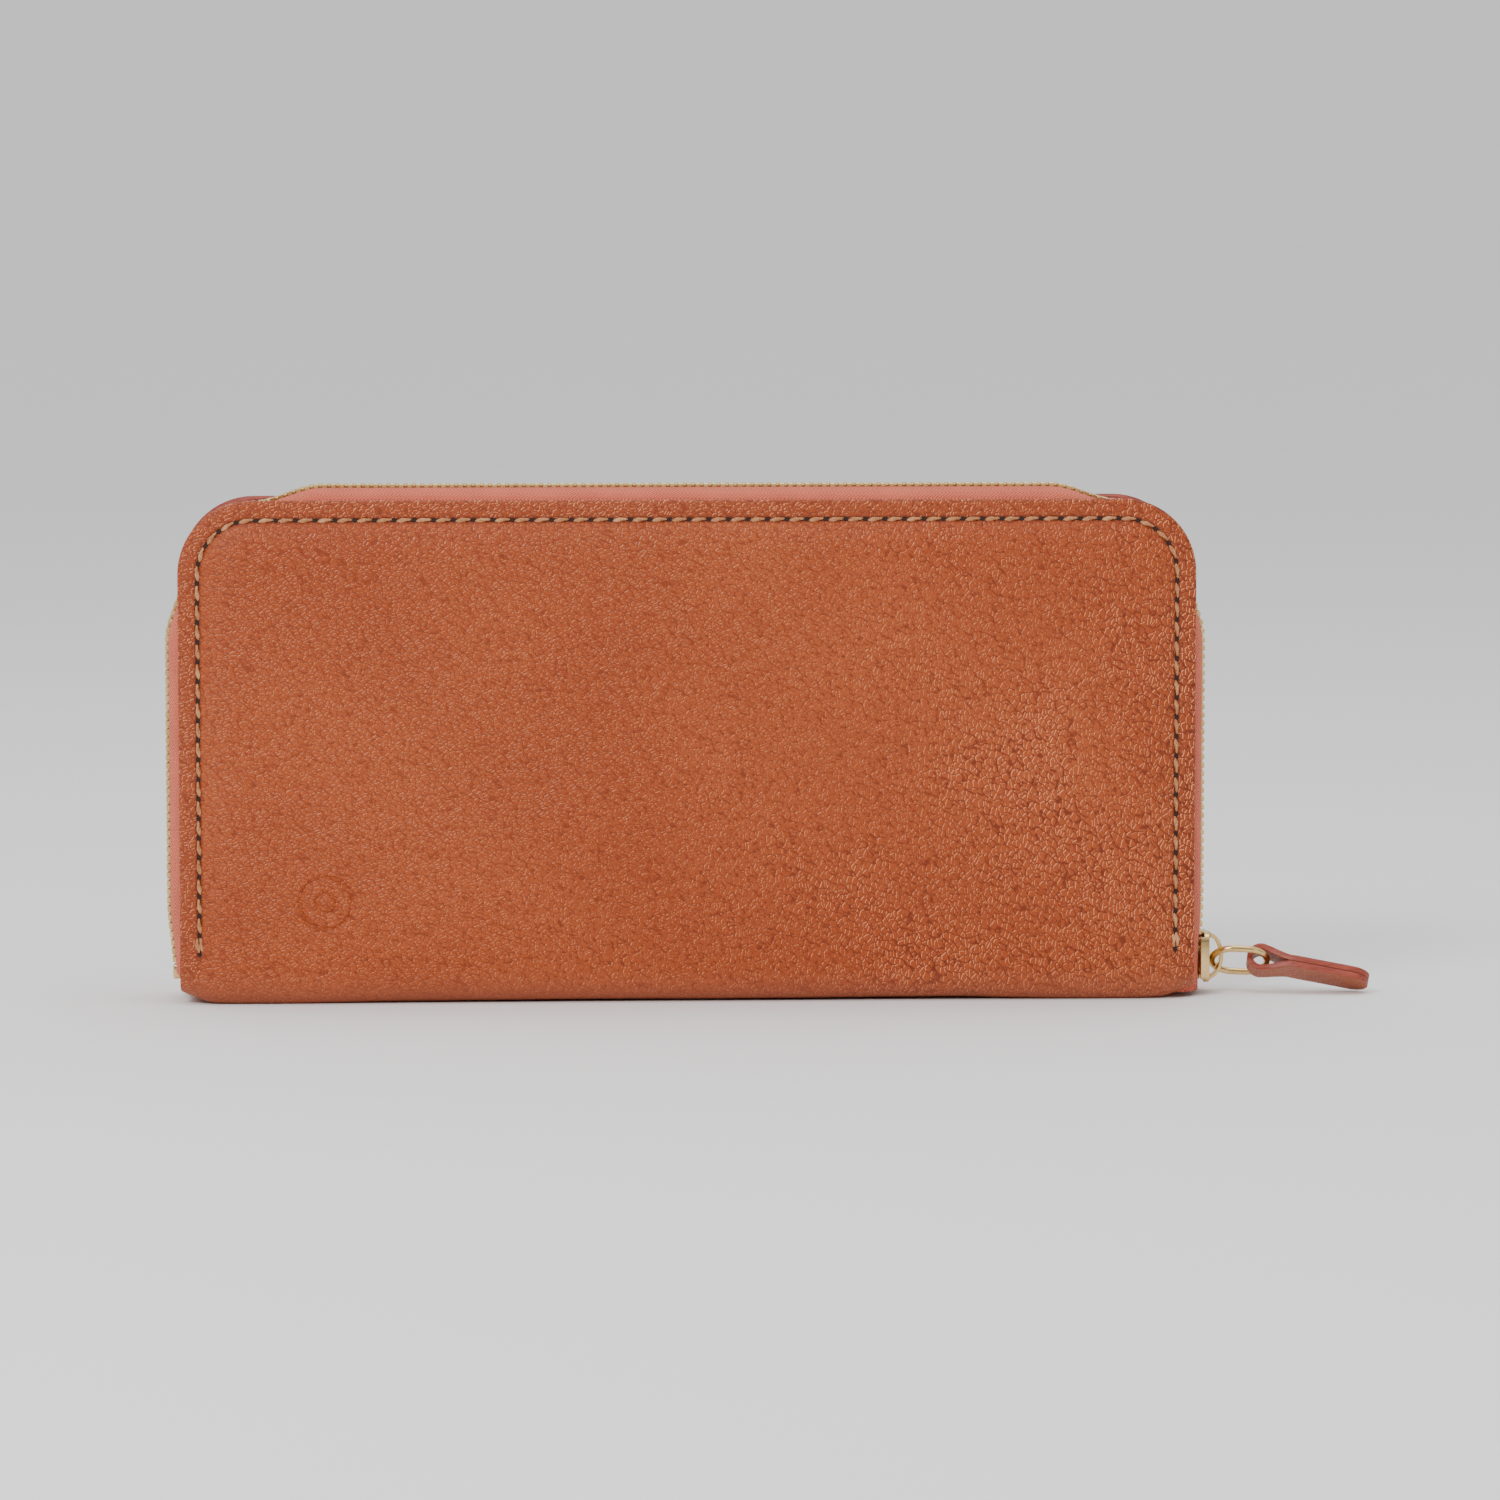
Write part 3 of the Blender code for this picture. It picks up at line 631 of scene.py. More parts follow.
def cut_often(bm, axis, first, pitch, count, near=None):
    """Cuts the mesh across an axis at equal steps, or only its faces round a small mark."""
    for step in range(count):
        place, normal = Vector(), Vector()
        place[axis], normal[axis] = first + step * pitch, 1
        faces = near and [face for face in bm.faces if max(
            abs(face.calc_center_median()[i] - near[i]) for i in (0, 2)) < MARK_REACH + 3]
        cut(bm, place, normal, faces=faces)


def face_front(bm):
    """Turns an open sheet's faces so that most of it looks to the front."""
    face_out(bm)
    bm.normal_update()
    if sum(face.calc_area() * face.normal.y for face in bm.faces) > 0:
        bmesh.ops.reverse_faces(bm, faces=bm.faces)


def grid(rows, columns, place, span=(10.0, 10.0)):
    """A surface put at place(row, column), with a flat pattern that is span millimetres in size."""
    bm = bmesh.new()
    flat = bm.loops.layers.uv.new("flat")
    bmesh.ops.create_grid(bm, x_segments=rows - 1, y_segments=columns - 1, size=1)
    for face in bm.faces:
        for loop in face.loops:
            loop[flat].uv = ((loop.vert.co.x + 1) / 2 * span[0] / UV_UNIT,
                             (loop.vert.co.y + 1) / 2 * span[1] / UV_UNIT)
    for vert in bm.verts:
        row = round((vert.co.x + 1) / 2 * (rows - 1))
        column = round((vert.co.y + 1) / 2 * (columns - 1))
        vert.co = place(row, column)
    return bm


def add_copy(bm, shape, matrix):
    """Joins a copy of a small shape into the mesh, moved by the matrix."""
    before = len(bm.verts)
    bm.from_mesh(shape)
    bm.verts.ensure_lookup_table()
    bmesh.ops.transform(bm, matrix=matrix, verts=bm.verts[before:])


def as_mesh(bm, name):
    mesh = bpy.data.meshes.new(name)
    bm.to_mesh(mesh)
    bm.free()
    return mesh


def with_axes(point, x, y, z):
    """A matrix that puts a shape at a point, with its axes in those directions."""
    return Matrix.Translation(point) @ Matrix((x, y, z)).transposed().to_4x4()


def placed(point, along, up):
    """A matrix that puts a shape's X along a line and its Z towards up."""
    along = Vector(along).normalized()
    side = Vector(up).cross(along).normalized()
    return with_axes(point, along, side, along.cross(side))


def smooth_step(t):
    t = min(max(t, 0.0), 1.0)
    return t * t * (3 - 2 * t)


# The rounded edge that the seam and the zip follow


def edge_point(distance, inset=0.0, end=0.0):
    """The point (x, z), the outward and the forward direction, after that distance along a line
    inset from the edge, which runs from lower left over the top to lower right."""
    radius = CORNER - inset
    side, arc, across = TOP - CORNER - end, radius * math.pi / 2, 2 * (HALF - CORNER)
    centre_x, centre_z = HALF - CORNER, TOP - CORNER
    if distance <= side:
        return (-HALF + inset, end + distance), (-1.0, 0.0), (0.0, 1.0)
    distance -= side
    if distance <= arc:
        turn = distance / radius
        out = (-math.cos(turn), math.sin(turn))
        return (-centre_x + radius * out[0], centre_z + radius * out[1]), out, (out[1], -out[0])
    distance -= arc
    if distance <= across:
        return (-centre_x + distance, TOP - inset), (0.0, 1.0), (1.0, 0.0)
    distance -= across
    if distance <= arc:
        turn = distance / radius
        out = (math.sin(turn), math.cos(turn))
        return (centre_x + radius * out[0], centre_z + radius * out[1]), out, (out[1], -out[0])
    distance -= arc
    return (HALF - inset, centre_z - distance), (1.0, 0.0), (0.0, -1.0)


def edge_length(inset=0.0, end=0.0):
    return 2 * (TOP - CORNER - end) + math.pi * (CORNER - inset) + 2 * (HALF - CORNER)


def bulge_near(point, out):
    """How far the zip stands out beyond the edge: none at the corners, less at its lower ends."""
    x, z = point
    if out[0] == 0.0:
        ramp = smooth_step((HALF - CORNER - abs(x)) / BULGE_RAMP)
        return CORNER_BULGE + (BULGE - CORNER_BULGE) * ramp
    if out[1] != 0.0:
        return CORNER_BULGE
    end_bulge = LEFT_END_BULGE if x < 0 else RIGHT_END_BULGE
    taper = (BULGE - end_bulge) * smooth_step((ZIP_END + LOWER_TAPER - z) / LOWER_TAPER)
    tuck = 4.5 * smooth_step((ZIP_END + 0.5 - z) / 5.0) if x < 0 else 0.0
    ramp = smooth_step((TOP - CORNER - z) / BULGE_RAMP)
    return CORNER_BULGE + ramp * (BULGE - CORNER_BULGE - taper) - tuck


def zip_place(distance, end, out_by, y):
    """A point of the zip's cross-section, drawn at full bulge, at a distance along the zip."""
    point, out, _ = edge_point(distance, 0.0, end)
    bulge = bulge_near(point, out)
    reach = TAPE_BASE + (out_by - TAPE_BASE) * (bulge - TAPE_BASE) / (BULGE - TAPE_BASE)
    return Vector((point[0] + reach * out[0], -y, point[1] + reach * out[1]))


# Cover leather


def crown_height(inset):
    for (near, low), (far, high) in zip(CROWN, CROWN[1:]):
        if inset <= far:
            return low + (high - low) * (inset - near) / (far - near)
    return CROWN[-1][1]


def plain_height(inset):
    """The same rise without its border and stitch groove, as the leather has it below the seam."""
    low, high = CROWN[0][1], CROWN[-1][1]
    return low + (high - low) * (1 - (1 - min(inset / CROWN_WIDTH, 1.0)) ** 3.2)


def inset_of(x, z):
    """How far a point of a cover lies in from its edge."""
    side, rise = abs(x) - HALF + CORNER, z - TOP + CORNER
    if side > 0 and rise > 0:
        return CORNER - math.hypot(side, rise)
    return CORNER - max(side, rise)


def mark_depth(x, z):
    radius = math.hypot(x - MARK.x, z - MARK.z)
    return MARK_DEPTH * max(smooth_step(1.6 - abs(radius - ring) / MARK_LINE)
                            for ring in MARK_RINGS)


def hide_ripple(x, z, inset):
    """The soft unevenness of a padded hide."""
    slow = noise.noise(Vector((x / 34, z / 26, 0.3)))
    quick = noise.noise(Vector((x / 9, z / 8, 4.1)))
    return smooth_step((inset - 4.2) / 6) * (0.2 * slow + 0.05 * quick)


def flat_height(co):
    """How far up the flat, unrolled leather a point lies. The spine's underside unrolls below 0."""
    if co.z >= SPINE_ROUND:
        return co.z
    if co.y < -SPINE_FLAT:
        turn = math.atan2(SPINE_ROUND - co.z, -co.y - SPINE_FLAT)
        return SPINE_ROUND - SPINE_ROUND * turn
    return SPINE_ROUND - SPINE_ROUND * math.pi / 2 - (co.y + SPINE_FLAT)


def spin_under(bm, steps, flat_steps):
    """Takes the cover's lower edge round the hinge line and on to the wallet's mid-plane."""
    rim = [edge for edge in bm.edges if all(abs(v.co.z - SPINE_ROUND) < 1e-3 for v in edge.verts)]
    turned = bmesh.ops.spin(bm, geom=rim, cent=(0, -SPINE_FLAT, SPINE_ROUND), axis=(1, 0, 0),
                            angle=math.pi / 2, steps=steps, use_merge=False)["geom_last"]
    edges = only(BMEdge, turned)
    for _ in range(flat_steps):
        moved = bmesh.ops.extrude_edge_only(bm, edges=edges)["geom"]
        verts = only(BMVert, moved)
        bmesh.ops.translate(bm, verts=verts, vec=(0, SPINE_FLAT / flat_steps, 0))
        edges = only(BMEdge, moved)
    bmesh.ops.remove_doubles(bm, verts=bm.verts, dist=1e-3)


def cover_shell(marked):
    """A cover's leather with its padded crown and its half of the spine, in one sheet."""
    bm = cover_face(0.0, -2 * CORNER, EDGE_Y + CROWN[0][1])
    sink_rings(bm, [(far - near, high - low) for (near, low), (far, high) in zip(CROWN, CROWN[1:])])
    cut(bm, (0, 0, SPINE_ROUND), (0, 0, -1), clear=True)
    cut_often(bm, 0, -HALF + 6, 6, 31)
    cut_often(bm, 2, SPINE_ROUND + 5, 5, 17)
    if marked:
        for axis in (0, 2):
            cut_often(bm, axis, MARK[axis] - MARK_REACH, 2 * MARK_REACH / MARK_CUTS, MARK_CUTS + 1,
                      MARK)
    for vert in bm.verts:
        x, _, z = vert.co
        inset = inset_of(x, z)
        below = 1 - smooth_step((z - 4.5) / (SEAM_BOTTOM - 4.7))
        vert.co.y -= below * (plain_height(inset) - crown_height(inset)) + hide_ripple(x, z, inset)
        if marked and (vert.co - MARK).xz.length < 6:
            vert.co.y += mark_depth(x, z)
    spin_under(bm, 12, 5)
    for vert in bm.verts:
        # The bottom edge is hollow in its middle, and its corners are tucked in.
        aside = abs(vert.co.x)
        lift = 0.6 * (1 - smooth_step(vert.co.z / 7)) * smooth_step((80 - aside) / 30)
        vert.co.z = max(vert.co.z + lift, 0.02)
        tuck = 1.3 * smooth_step((aside - HALF + 8) / 8) * smooth_step(1 - vert.co.z / 4) ** 2
        vert.co.x -= math.copysign(tuck, vert.co.x)
    face_front(bm)
    flat = bm.loops.layers.uv.new("flat")
    for face in bm.faces:
        for loop in face.loops:
            loop[flat].uv = (loop.vert.co.x / UV_UNIT, flat_height(loop.vert.co) / UV_UNIT)
    return bm


def hinge_blend(piece):
    """Bakes into its mesh the transform of a sheet that runs round the spine's corner."""
    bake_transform(piece)


def applied(piece):
    """Makes a piece's modifiers part of its mesh."""
    depsgraph = bpy.context.evaluated_depsgraph_get()
    mesh = bpy.data.meshes.new_from_object(piece.evaluated_get(depsgraph))
    piece.modifiers.clear()
    piece.data = mesh
    return piece


def add_cover_leather(side, turned):
    nodes = [side + "_panel"] + (["spine"] if side == "front" else [])
    piece = finished(side + "_cover_leather", turned(cover_shell(side == "front")), side + "_cover",
                     [LEATHER_SKIN, PAINTED_EDGE], nodes, sharp=60, ride=False)
    thicken(piece, LEATHER, rim=1)
    hinge_blend(applied(piece))


# Seam stitches


def stitch_shape(length, radius):
    """One stitch: two plies twisted together, dipping into its holes at both ends."""
    steps = 7
    bm = bmesh.new()
    bmesh.ops.create_circle(bm, segments=8, radius=radius)
    for vert in bm.verts:
        vert.co *= 1 + 0.3 * math.cos(2 * math.atan2(vert.co.y, vert.co.x))
    bmesh.ops.rotate(bm, verts=bm.verts, cent=(0, 0, 0),
                     matrix=Matrix.Rotation(math.pi / 2, 3, "Y"))
    bmesh.ops.translate(bm, verts=bm.verts, vec=(-length / 2, 0, 0))
    first = bm.edges[:]
    last = bmesh.ops.spin(bm, geom=first, cent=(0, 0, 0), axis=(1, 0, 0),
                          dvec=(length / steps, 0, 0),
                          angle=math.radians(250), steps=steps, use_merge=False)["geom_last"]
    for rim in (first, only(BMEdge, last)):
        bmesh.ops.contextual_create(bm, geom=rim)
    for vert in bm.verts:
        t = abs(vert.co.x) / (length / 2)
        thin = 1 - 0.5 * t**4
        vert.co.y *= thin
        vert.co.z = vert.co.z * thin - 0.55 * radius * t**3
    face_out(bm)
    return as_mesh(bm, "stitch")


def hole_shape(length, width):
    bm = bmesh.new()
    bmesh.ops.create_circle(bm, cap_ends=True, segments=12, radius=0.5)
    bmesh.ops.scale(bm, verts=bm.verts, vec=(length, width, 1))
    return as_mesh(bm, "hole")


def add_seam(side, turned):
    """The seam's stitches and needle holes, with a doubled stitch at each lower end."""
    stitch = stitch_shape(STITCH_LENGTH, STITCH_RADIUS)
    hole = hole_shape(HOLE_LENGTH, HOLE_WIDTH)
    length = edge_length(SEAM_INSET, SEAM_BOTTOM)
    count = round(length / STITCH_PITCH)
    pitch = length / count
    thread, holes = bmesh.new(), bmesh.new()
    for index in range(count):
        point, out, along = edge_point((index + 0.5) * pitch, SEAM_INSET, SEAM_BOTTOM)
        slant = math.radians(9 + 3 * noise.noise(Vector((index * 1.7, 0, 0))))
        heading = Vector((along[0] + slant * out[0], 0, along[1] + slant * out[1]))
        rows = (0.0,) if 0 < index < count - 1 else (-0.36, 0.36)
        for row in rows:
            spot = (point[0] + row * out[0], -SEAM_Y - 0.22, point[1] + row * out[1])
            add_copy(thread, stitch, placed(spot, heading, (0, -1, 0)))
    # Each needle hole is a flat near-black disc: painted shade for the hole's dark inside
    for index in range(count + 1):
        point, out, along = edge_point(min(index * pitch, length), SEAM_INSET, SEAM_BOTTOM)
        add_copy(holes, hole, placed((point[0], -SEAM_Y - 0.1, point[1]),
                                     (along[0], 0, along[1]), (0, -1, 0)))
    for vert in holes.verts:
        vert.co.y = -EDGE_Y - crown_height(inset_of(vert.co.x, vert.co.z)) - 0.04
    body = side + "_cover"
    finished(side + "_seam_stitches", turned(thread), body, [THREAD], [side + "_seam_thread"],
             sharp=80)
    finished(side + "_seam_hole_shade", turned(holes), body, [HOLE])


# Zip


def add_zip_tape(side, turned):
    length = edge_length(0.0, TAPE_END)
    rows = 170

    def place(row, column):
        return zip_place(length * row / (rows - 1), TAPE_END, *TAPE_SECTION[column])

    tape = grid(rows, len(TAPE_SECTION), place, (length, 11.0))
    piece = finished(side + "_coral_tape", turned(tape), side + "_cover", [CORAL_TAPE],
                     [side + "_zip_tape"], sharp=60)
    thicken(piece, TAPE, 0.0)
    declare((TAPE_WIDTH, length))


def tooth_shape():
    """A cast tooth: a clamp over the tape's edge, and a narrower nose that meshes."""
    bm = block((-0.5, 0.25, -CHAIN_DEPTH), (0.5, 2.1, CHAIN_DEPTH))
    nose = [face for face in bm.faces if face.normal.y < -0.9]
    verts = extrude(bm, nose, (0, -0.75, 0), hollow=True)
    bmesh.ops.scale(bm, verts=verts, vec=(0.62, 1, 0.7))
    bmesh.ops.bevel(bm, geom=bm.edges[:], affect="EDGES", offset=0.11, segments=1, profile=0.5,
                    material=-1)
    face_out(bm)
    return as_mesh(bm, "tooth")


def add_zip_teeth(side, turned, offset):
    tooth = tooth_shape()
    length = edge_length(0.0, TEETH_END)
    count = round(length / TEETH_PITCH)
    teeth = bmesh.new()

    def place(distance):
        distance = min(max(distance, 0.0), length)
        return zip_place(distance, TEETH_END, BULGE - CHAIN_DEPTH, 0.0)

    for index in range(count):
        distance = (index + offset) * length / count
        along = (place(distance + 0.5) - place(distance - 0.5)).normalized()
        front = Vector((0, -1, 0))
        add_copy(teeth, tooth, with_axes(place(distance), along, front, along.cross(front)))
    face_out(teeth)
    finished(side + "_gold_teeth", turned(teeth), side + "_cover", [TOOTH_GOLD],
             [side + "_zip_teeth"], sharp=25)


def add_stop(node, body, radius=0.3):
    stop = rounded_block(*node_box(node), radius)
    finished(node + "_clamp", stop, body, [GOLD], [node])


def add_stops():
    add_stop("bottom_stop", "root", 0.45)
    for side in ("front", "back"):
        add_stop(side + "_top_stop", side + "_cover")


# Slider, ring and tab


def slider_plate(x, thickness, lip):
    """A plate with rounded corners whose long sides turn in towards the chain by lip."""
    low, high = SLIDER_LOW, SLIDER_HIGH
    bm = block((x, low.y, low.z), (x + thickness, high.y, high.z))
    upright = [edge for edge in bm.edges
               if abs(edge.verts[0].co.x - edge.verts[1].co.x) > thickness / 2]
    bmesh.ops.bevel(bm, geom=upright, affect="EDGES", offset=1.7, segments=5, profile=0.5,
                    material=-1)

    def facing_chain():
        return [face for face in bm.faces if face.normal.x * math.copysign(1, lip) > 0.9]

    bmesh.ops.inset_region(bm, faces=facing_chain(), thickness=0.65, depth=0.0,
                           use_even_offset=True)
    walls = [face for face in facing_chain() if abs(face.calc_center_median().y) > high.y - 0.7]
    extrude(bm, walls, (lip, 0, 0), hollow=True)
    face_out(bm)
    return bm


def joined(shapes):
    bm = bmesh.new()
    for shape in shapes:
        bm.from_mesh(as_mesh(shape, "shape"))
    return bm


def arch_outline(reach, half_length, wall, steps=28):
    """Points (along, out) of an arch: half an ellipse, and back along a smaller one."""
    turns = [math.pi * (1 - step / steps) for step in range(steps + 1)]
    outer = [(half_length * math.cos(turn), reach * math.sin(turn)) for turn in turns]
    inner = [((half_length - wall) * math.cos(turn), (reach - wall) * math.sin(turn))
             for turn in turns]
    return outer + inner[::-1]


def add_slider():
    low, high = SLIDER_LOW, SLIDER_HIGH
    outer_x = high.x - PLATE
    plates = [slider_plate(outer_x, PLATE, -SLIDER_LIP), slider_plate(low.x, PLATE, SLIDER_LIP)]
    post = rounded_block((low.x + 0.3, -0.4, low.z + 1.0), (high.x - 0.3, 0.4, low.z + 3.8),
                         0.15, 2)
    body = finished("slider_casting", joined([*plates, post]), "slider", [GOLD], ["slider_body"])
    soften(body, 0.22, 3)
    low, high = node_box("slider_bridge")
    middle, half_length = (low.z + high.z) / 2, (high.z - low.z) / 2
    outline = [(low.x + out, low.y, middle + along)
               for along, out in arch_outline(high.x - low.x, half_length, 0.72)]
    shapes = [extruded_face(outline, (0, high.y - low.y, 0))]
    for z in (middle - half_length + 0.35, middle + half_length - 0.35):
        shapes.append(rounded_block((outer_x + 0.5, low.y - 0.2, z - 0.6),
                                    (low.x + 0.35, high.y + 0.2, z + 0.6), 0.2, 2))
    bridge = finished("slider_arch", joined(shapes), "slider", [GOLD], ["slider_bridge"])
    soften(bridge, 0.2, 3)


def add_ring():
    """A stadium of round wire: a short run each side, closed by two half turns."""
    radius = (RING_WIDTH - RING_WIRE) / 2
    straight = (TAB_PIVOT - RING_PIVOT).length - 2 * radius
    bm = bmesh.new()
    bmesh.ops.create_circle(bm, segments=20, radius=RING_WIRE / 2)
    bmesh.ops.rotate(bm, verts=bm.verts, cent=(0, 0, 0),
                     matrix=Matrix.Rotation(math.pi / 2, 3, "Y"))
    bmesh.ops.translate(bm, verts=bm.verts, vec=(radius, radius, 0))
    loop = bm.edges[:]
    for centre, sign in ((radius + straight, 1), (radius, -1)):
        moved = bmesh.ops.extrude_edge_only(bm, edges=loop)["geom"]
        verts = only(BMVert, moved)
        bmesh.ops.translate(bm, verts=verts, vec=(sign * straight, 0, 0))
        loop = only(BMEdge, moved)
        turned = bmesh.ops.spin(bm, geom=loop, cent=(centre, 0, 0), axis=(0, 0, -1), angle=math.pi,
                                steps=36, use_merge=False)["geom_last"]
        loop = only(BMEdge, turned)
    bmesh.ops.remove_doubles(bm, verts=bm.verts, dist=0.01)
    face_out(bm)
    along = (TAB_PIVOT - RING_PIVOT).normalized()
    in_slider = with_axes(RING_PIVOT, along, RING_ACROSS, along.cross(RING_ACROSS))
    bmesh.ops.transform(bm, matrix=in_slider, verts=bm.verts)
    finished("gold_ring", bm, "pull_ring", [GOLD], ["pull_ring"], sharp=70)


def strap_line():
    """The folded strap's middle line as (along, up), from one end, round the ring, to the other."""
    layer = (STRAP + STRAP_GAP) / 2
    rounding = [STRAP_HALF_WIDTH * (1 - math.cos(math.radians(15 * step))) for step in range(7)]
    alongs = [STRAP_LENGTH - drop for drop in rounding]
    alongs += [16.0, 14.0, 12.0, 10.0, 8.0, 6.6, LOOP_END]
    upper = [(along, layer) for along in alongs]
    open_angle = math.radians(72)
    turns = [open_angle + (2 * math.pi - 2 * open_angle) * step / 28 for step in range(29)]
    loop = [(LOOP_RADIUS * math.cos(turn), LOOP_RADIUS * math.sin(turn)) for turn in turns]
    start, run, rise = upper[-1], loop[0][0] - upper[-1][0], loop[0][1] - upper[-1][1]
    for t in [step / 6 for step in range(1, 6)]:
        bend = 0.35 * smooth_step(t) + 0.65 * t
        upper.append((start[0] + run * t, start[1] + rise * bend))
    return upper + loop + [(along, -up) for along, up in reversed(upper)]


def strap_half_width(along):
    """Narrow where the strap turns round the ring, and rounded at its tip."""
    width = LOOP_HALF_WIDTH + (STRAP_HALF_WIDTH - LOOP_HALF_WIDTH) * smooth_step((along - 1) / 6)
    past = along - (STRAP_LENGTH - STRAP_HALF_WIDTH)
    if past > 0:
        width = math.sqrt(max(STRAP_HALF_WIDTH**2 - past**2, 0.3))
    return width


def add_tab():
    """The folded leather strap that hangs in the ring."""
    yaw, slope = math.radians(10), math.radians(10)
    level = math.cos(slope)
    along = Vector((level * math.cos(yaw), -level * math.sin(yaw), -math.sin(slope)))
    up = TAB_ACROSS.cross(along)
    line = strap_line()
    columns = 9

    def place(row, column):
        t, height = line[row]
        side = 2 * column / (columns - 1) - 1
        return (TAB_PIVOT + (t - LOOP_TO_WIRE) * along + height * up
                + side * strap_half_width(t) * TAB_ACROSS)

    strap = finished("tab_strap", grid(len(line), columns, place), "pull_tab",
                     [STRAP_SKIN, PAINTED_EDGE], ["pull_tab"], sharp=50)
    thicken(strap, STRAP, 0.0, rim=1)
    soften(strap, 0.16, 2)


# Inside of a cover


def add_lining(side, turned):
    """The cover's cloth lining: flat over the tape's seam, then down behind the card pockets."""
    bm = cover_face(LINING_INSET, -2 * CORNER, 7.75)
    sink_rings(bm, [(0.5, 0.05), (4.6, 0.05), (0.5, 0.3), (0.8, 1.1), (0.6, 0.45), (2.0, 0.05)])
    cut(bm, (0, 0, SPINE_ROUND), (0, 0, -1), clear=True)
    cut_often(bm, 0, -HALF + 12, 12, 15)
    spin_under(bm, 6, 3)
    face_front(bm)
    nodes = [side + "_lining"] + (["spine_lining"] if side == "front" else [])
    piece = finished(side + "_cover_lining", turned(bm), side + "_cover", [CLOTH], nodes,
                     sharp=60, ride=False)
    thicken(piece, LINING, 1.0)
    hinge_blend(applied(piece))
    declare((2 * (HALF - LINING_INSET), LINING_LENGTH))


def pocket_profile(node, hem):
    """Cross-section (y, z) of a card pocket strip whose top edge is turned over and creased."""
    low, high = node_box(node)
    lift, crease = 0.1, 0.02
    steps = ((-0.05, 0.0), (lift, -0.2), (lift, -1.1), (crease, -1.25), (crease, -1.45),
             (lift, -1.6), (lift, -hem), (0.0, -hem - 0.5))
    turned_over = [(high.y + out, high.z + up) for out, up in reversed(steps)]
    return [(low.y, low.z), (high.y, low.z), *turned_over, (low.y + 0.1, high.z),
            (low.y, high.z - 0.15)]


def add_card_pockets(side, turned):
    for name in ["card_backing"] + [f"card_pocket_{index}" for index in range(1, 5)]:
        outline = [(-CARD_HALF, y, z) for y, z in pocket_profile("front_" + name, 3.5)]
        strip = extruded_face(outline, (2 * CARD_HALF, 0, 0))
        backing = name == "card_backing"
        piece = finished(f"{side}_{name}_strip", turned(strip), side + "_cover",
                         [CLOTH if backing else POCKET_SKIN], [f"{side}_{name}"])
        if backing:
            declare((2 * CARD_HALF, outline[-1][2] - outline[0][2]))
    stitch = stitch_shape(2.3, 0.2)
    thread = bmesh.new()
    for index in range(1, 5):
        low, high = node_box(f"front_card_pocket_{index}")
        base = node_box(f"front_card_pocket_{index + 1}")[1].z if index < 4 else low.z
        face = high.y + 0.12
        for x in (-CARD_HALF + 1.8, 0.0, CARD_HALF - 1.8):
            for step in range(int((high.z - base - 3) / CARD_STITCH_PITCH)):
                spot = (x, face, base + 2.6 + CARD_STITCH_PITCH * step)
                add_copy(thread, stitch, placed(spot, (0.05, 0, 1), (0, 1, 0)))
    finished(side + "_card_stitches", turned(thread), side + "_cover", [THREAD],
             sharp=80)


def add_gussets(side, turned):
    """Folded cloth at both ends of a bill compartment."""
    low, high = node_box("front_left_gusset")
    near, far = -high.y, -low.y
    rows, columns = 14, 17
    for end, flip in (("left", 1), ("right", -1)):

        def place(row, column, flip=flip):
            up, across = row / (rows - 1), column / (columns - 1)
            fold = 1 - abs(2 * across - 1) ** 1.15
            depth = (GUSSET_DEPTH_LOW + (GUSSET_DEPTH_HIGH - GUSSET_DEPTH_LOW) * up) * fold
            return Vector((flip * (depth - GUSSET_EDGE),
                           -(near + 0.15 + (far - near - 0.3) * across),
                           low.z + 0.3 + (high.z - low.z - 0.6) * up))

        name = f"{side}_{end}_gusset"
        cloth = grid(rows, columns, place, (GUSSET_HEIGHT, 44.0))
        face_out(cloth)
        piece = finished(name + "_cloth", turned(cloth), "root", [CLOTH], [name],
                         sharp=80, ride=False)
        applied(thicken(piece, 0.28, 0.0))
        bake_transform(piece)
        declare((GUSSET_WIDTH, GUSSET_HEIGHT))


# Coin pocket


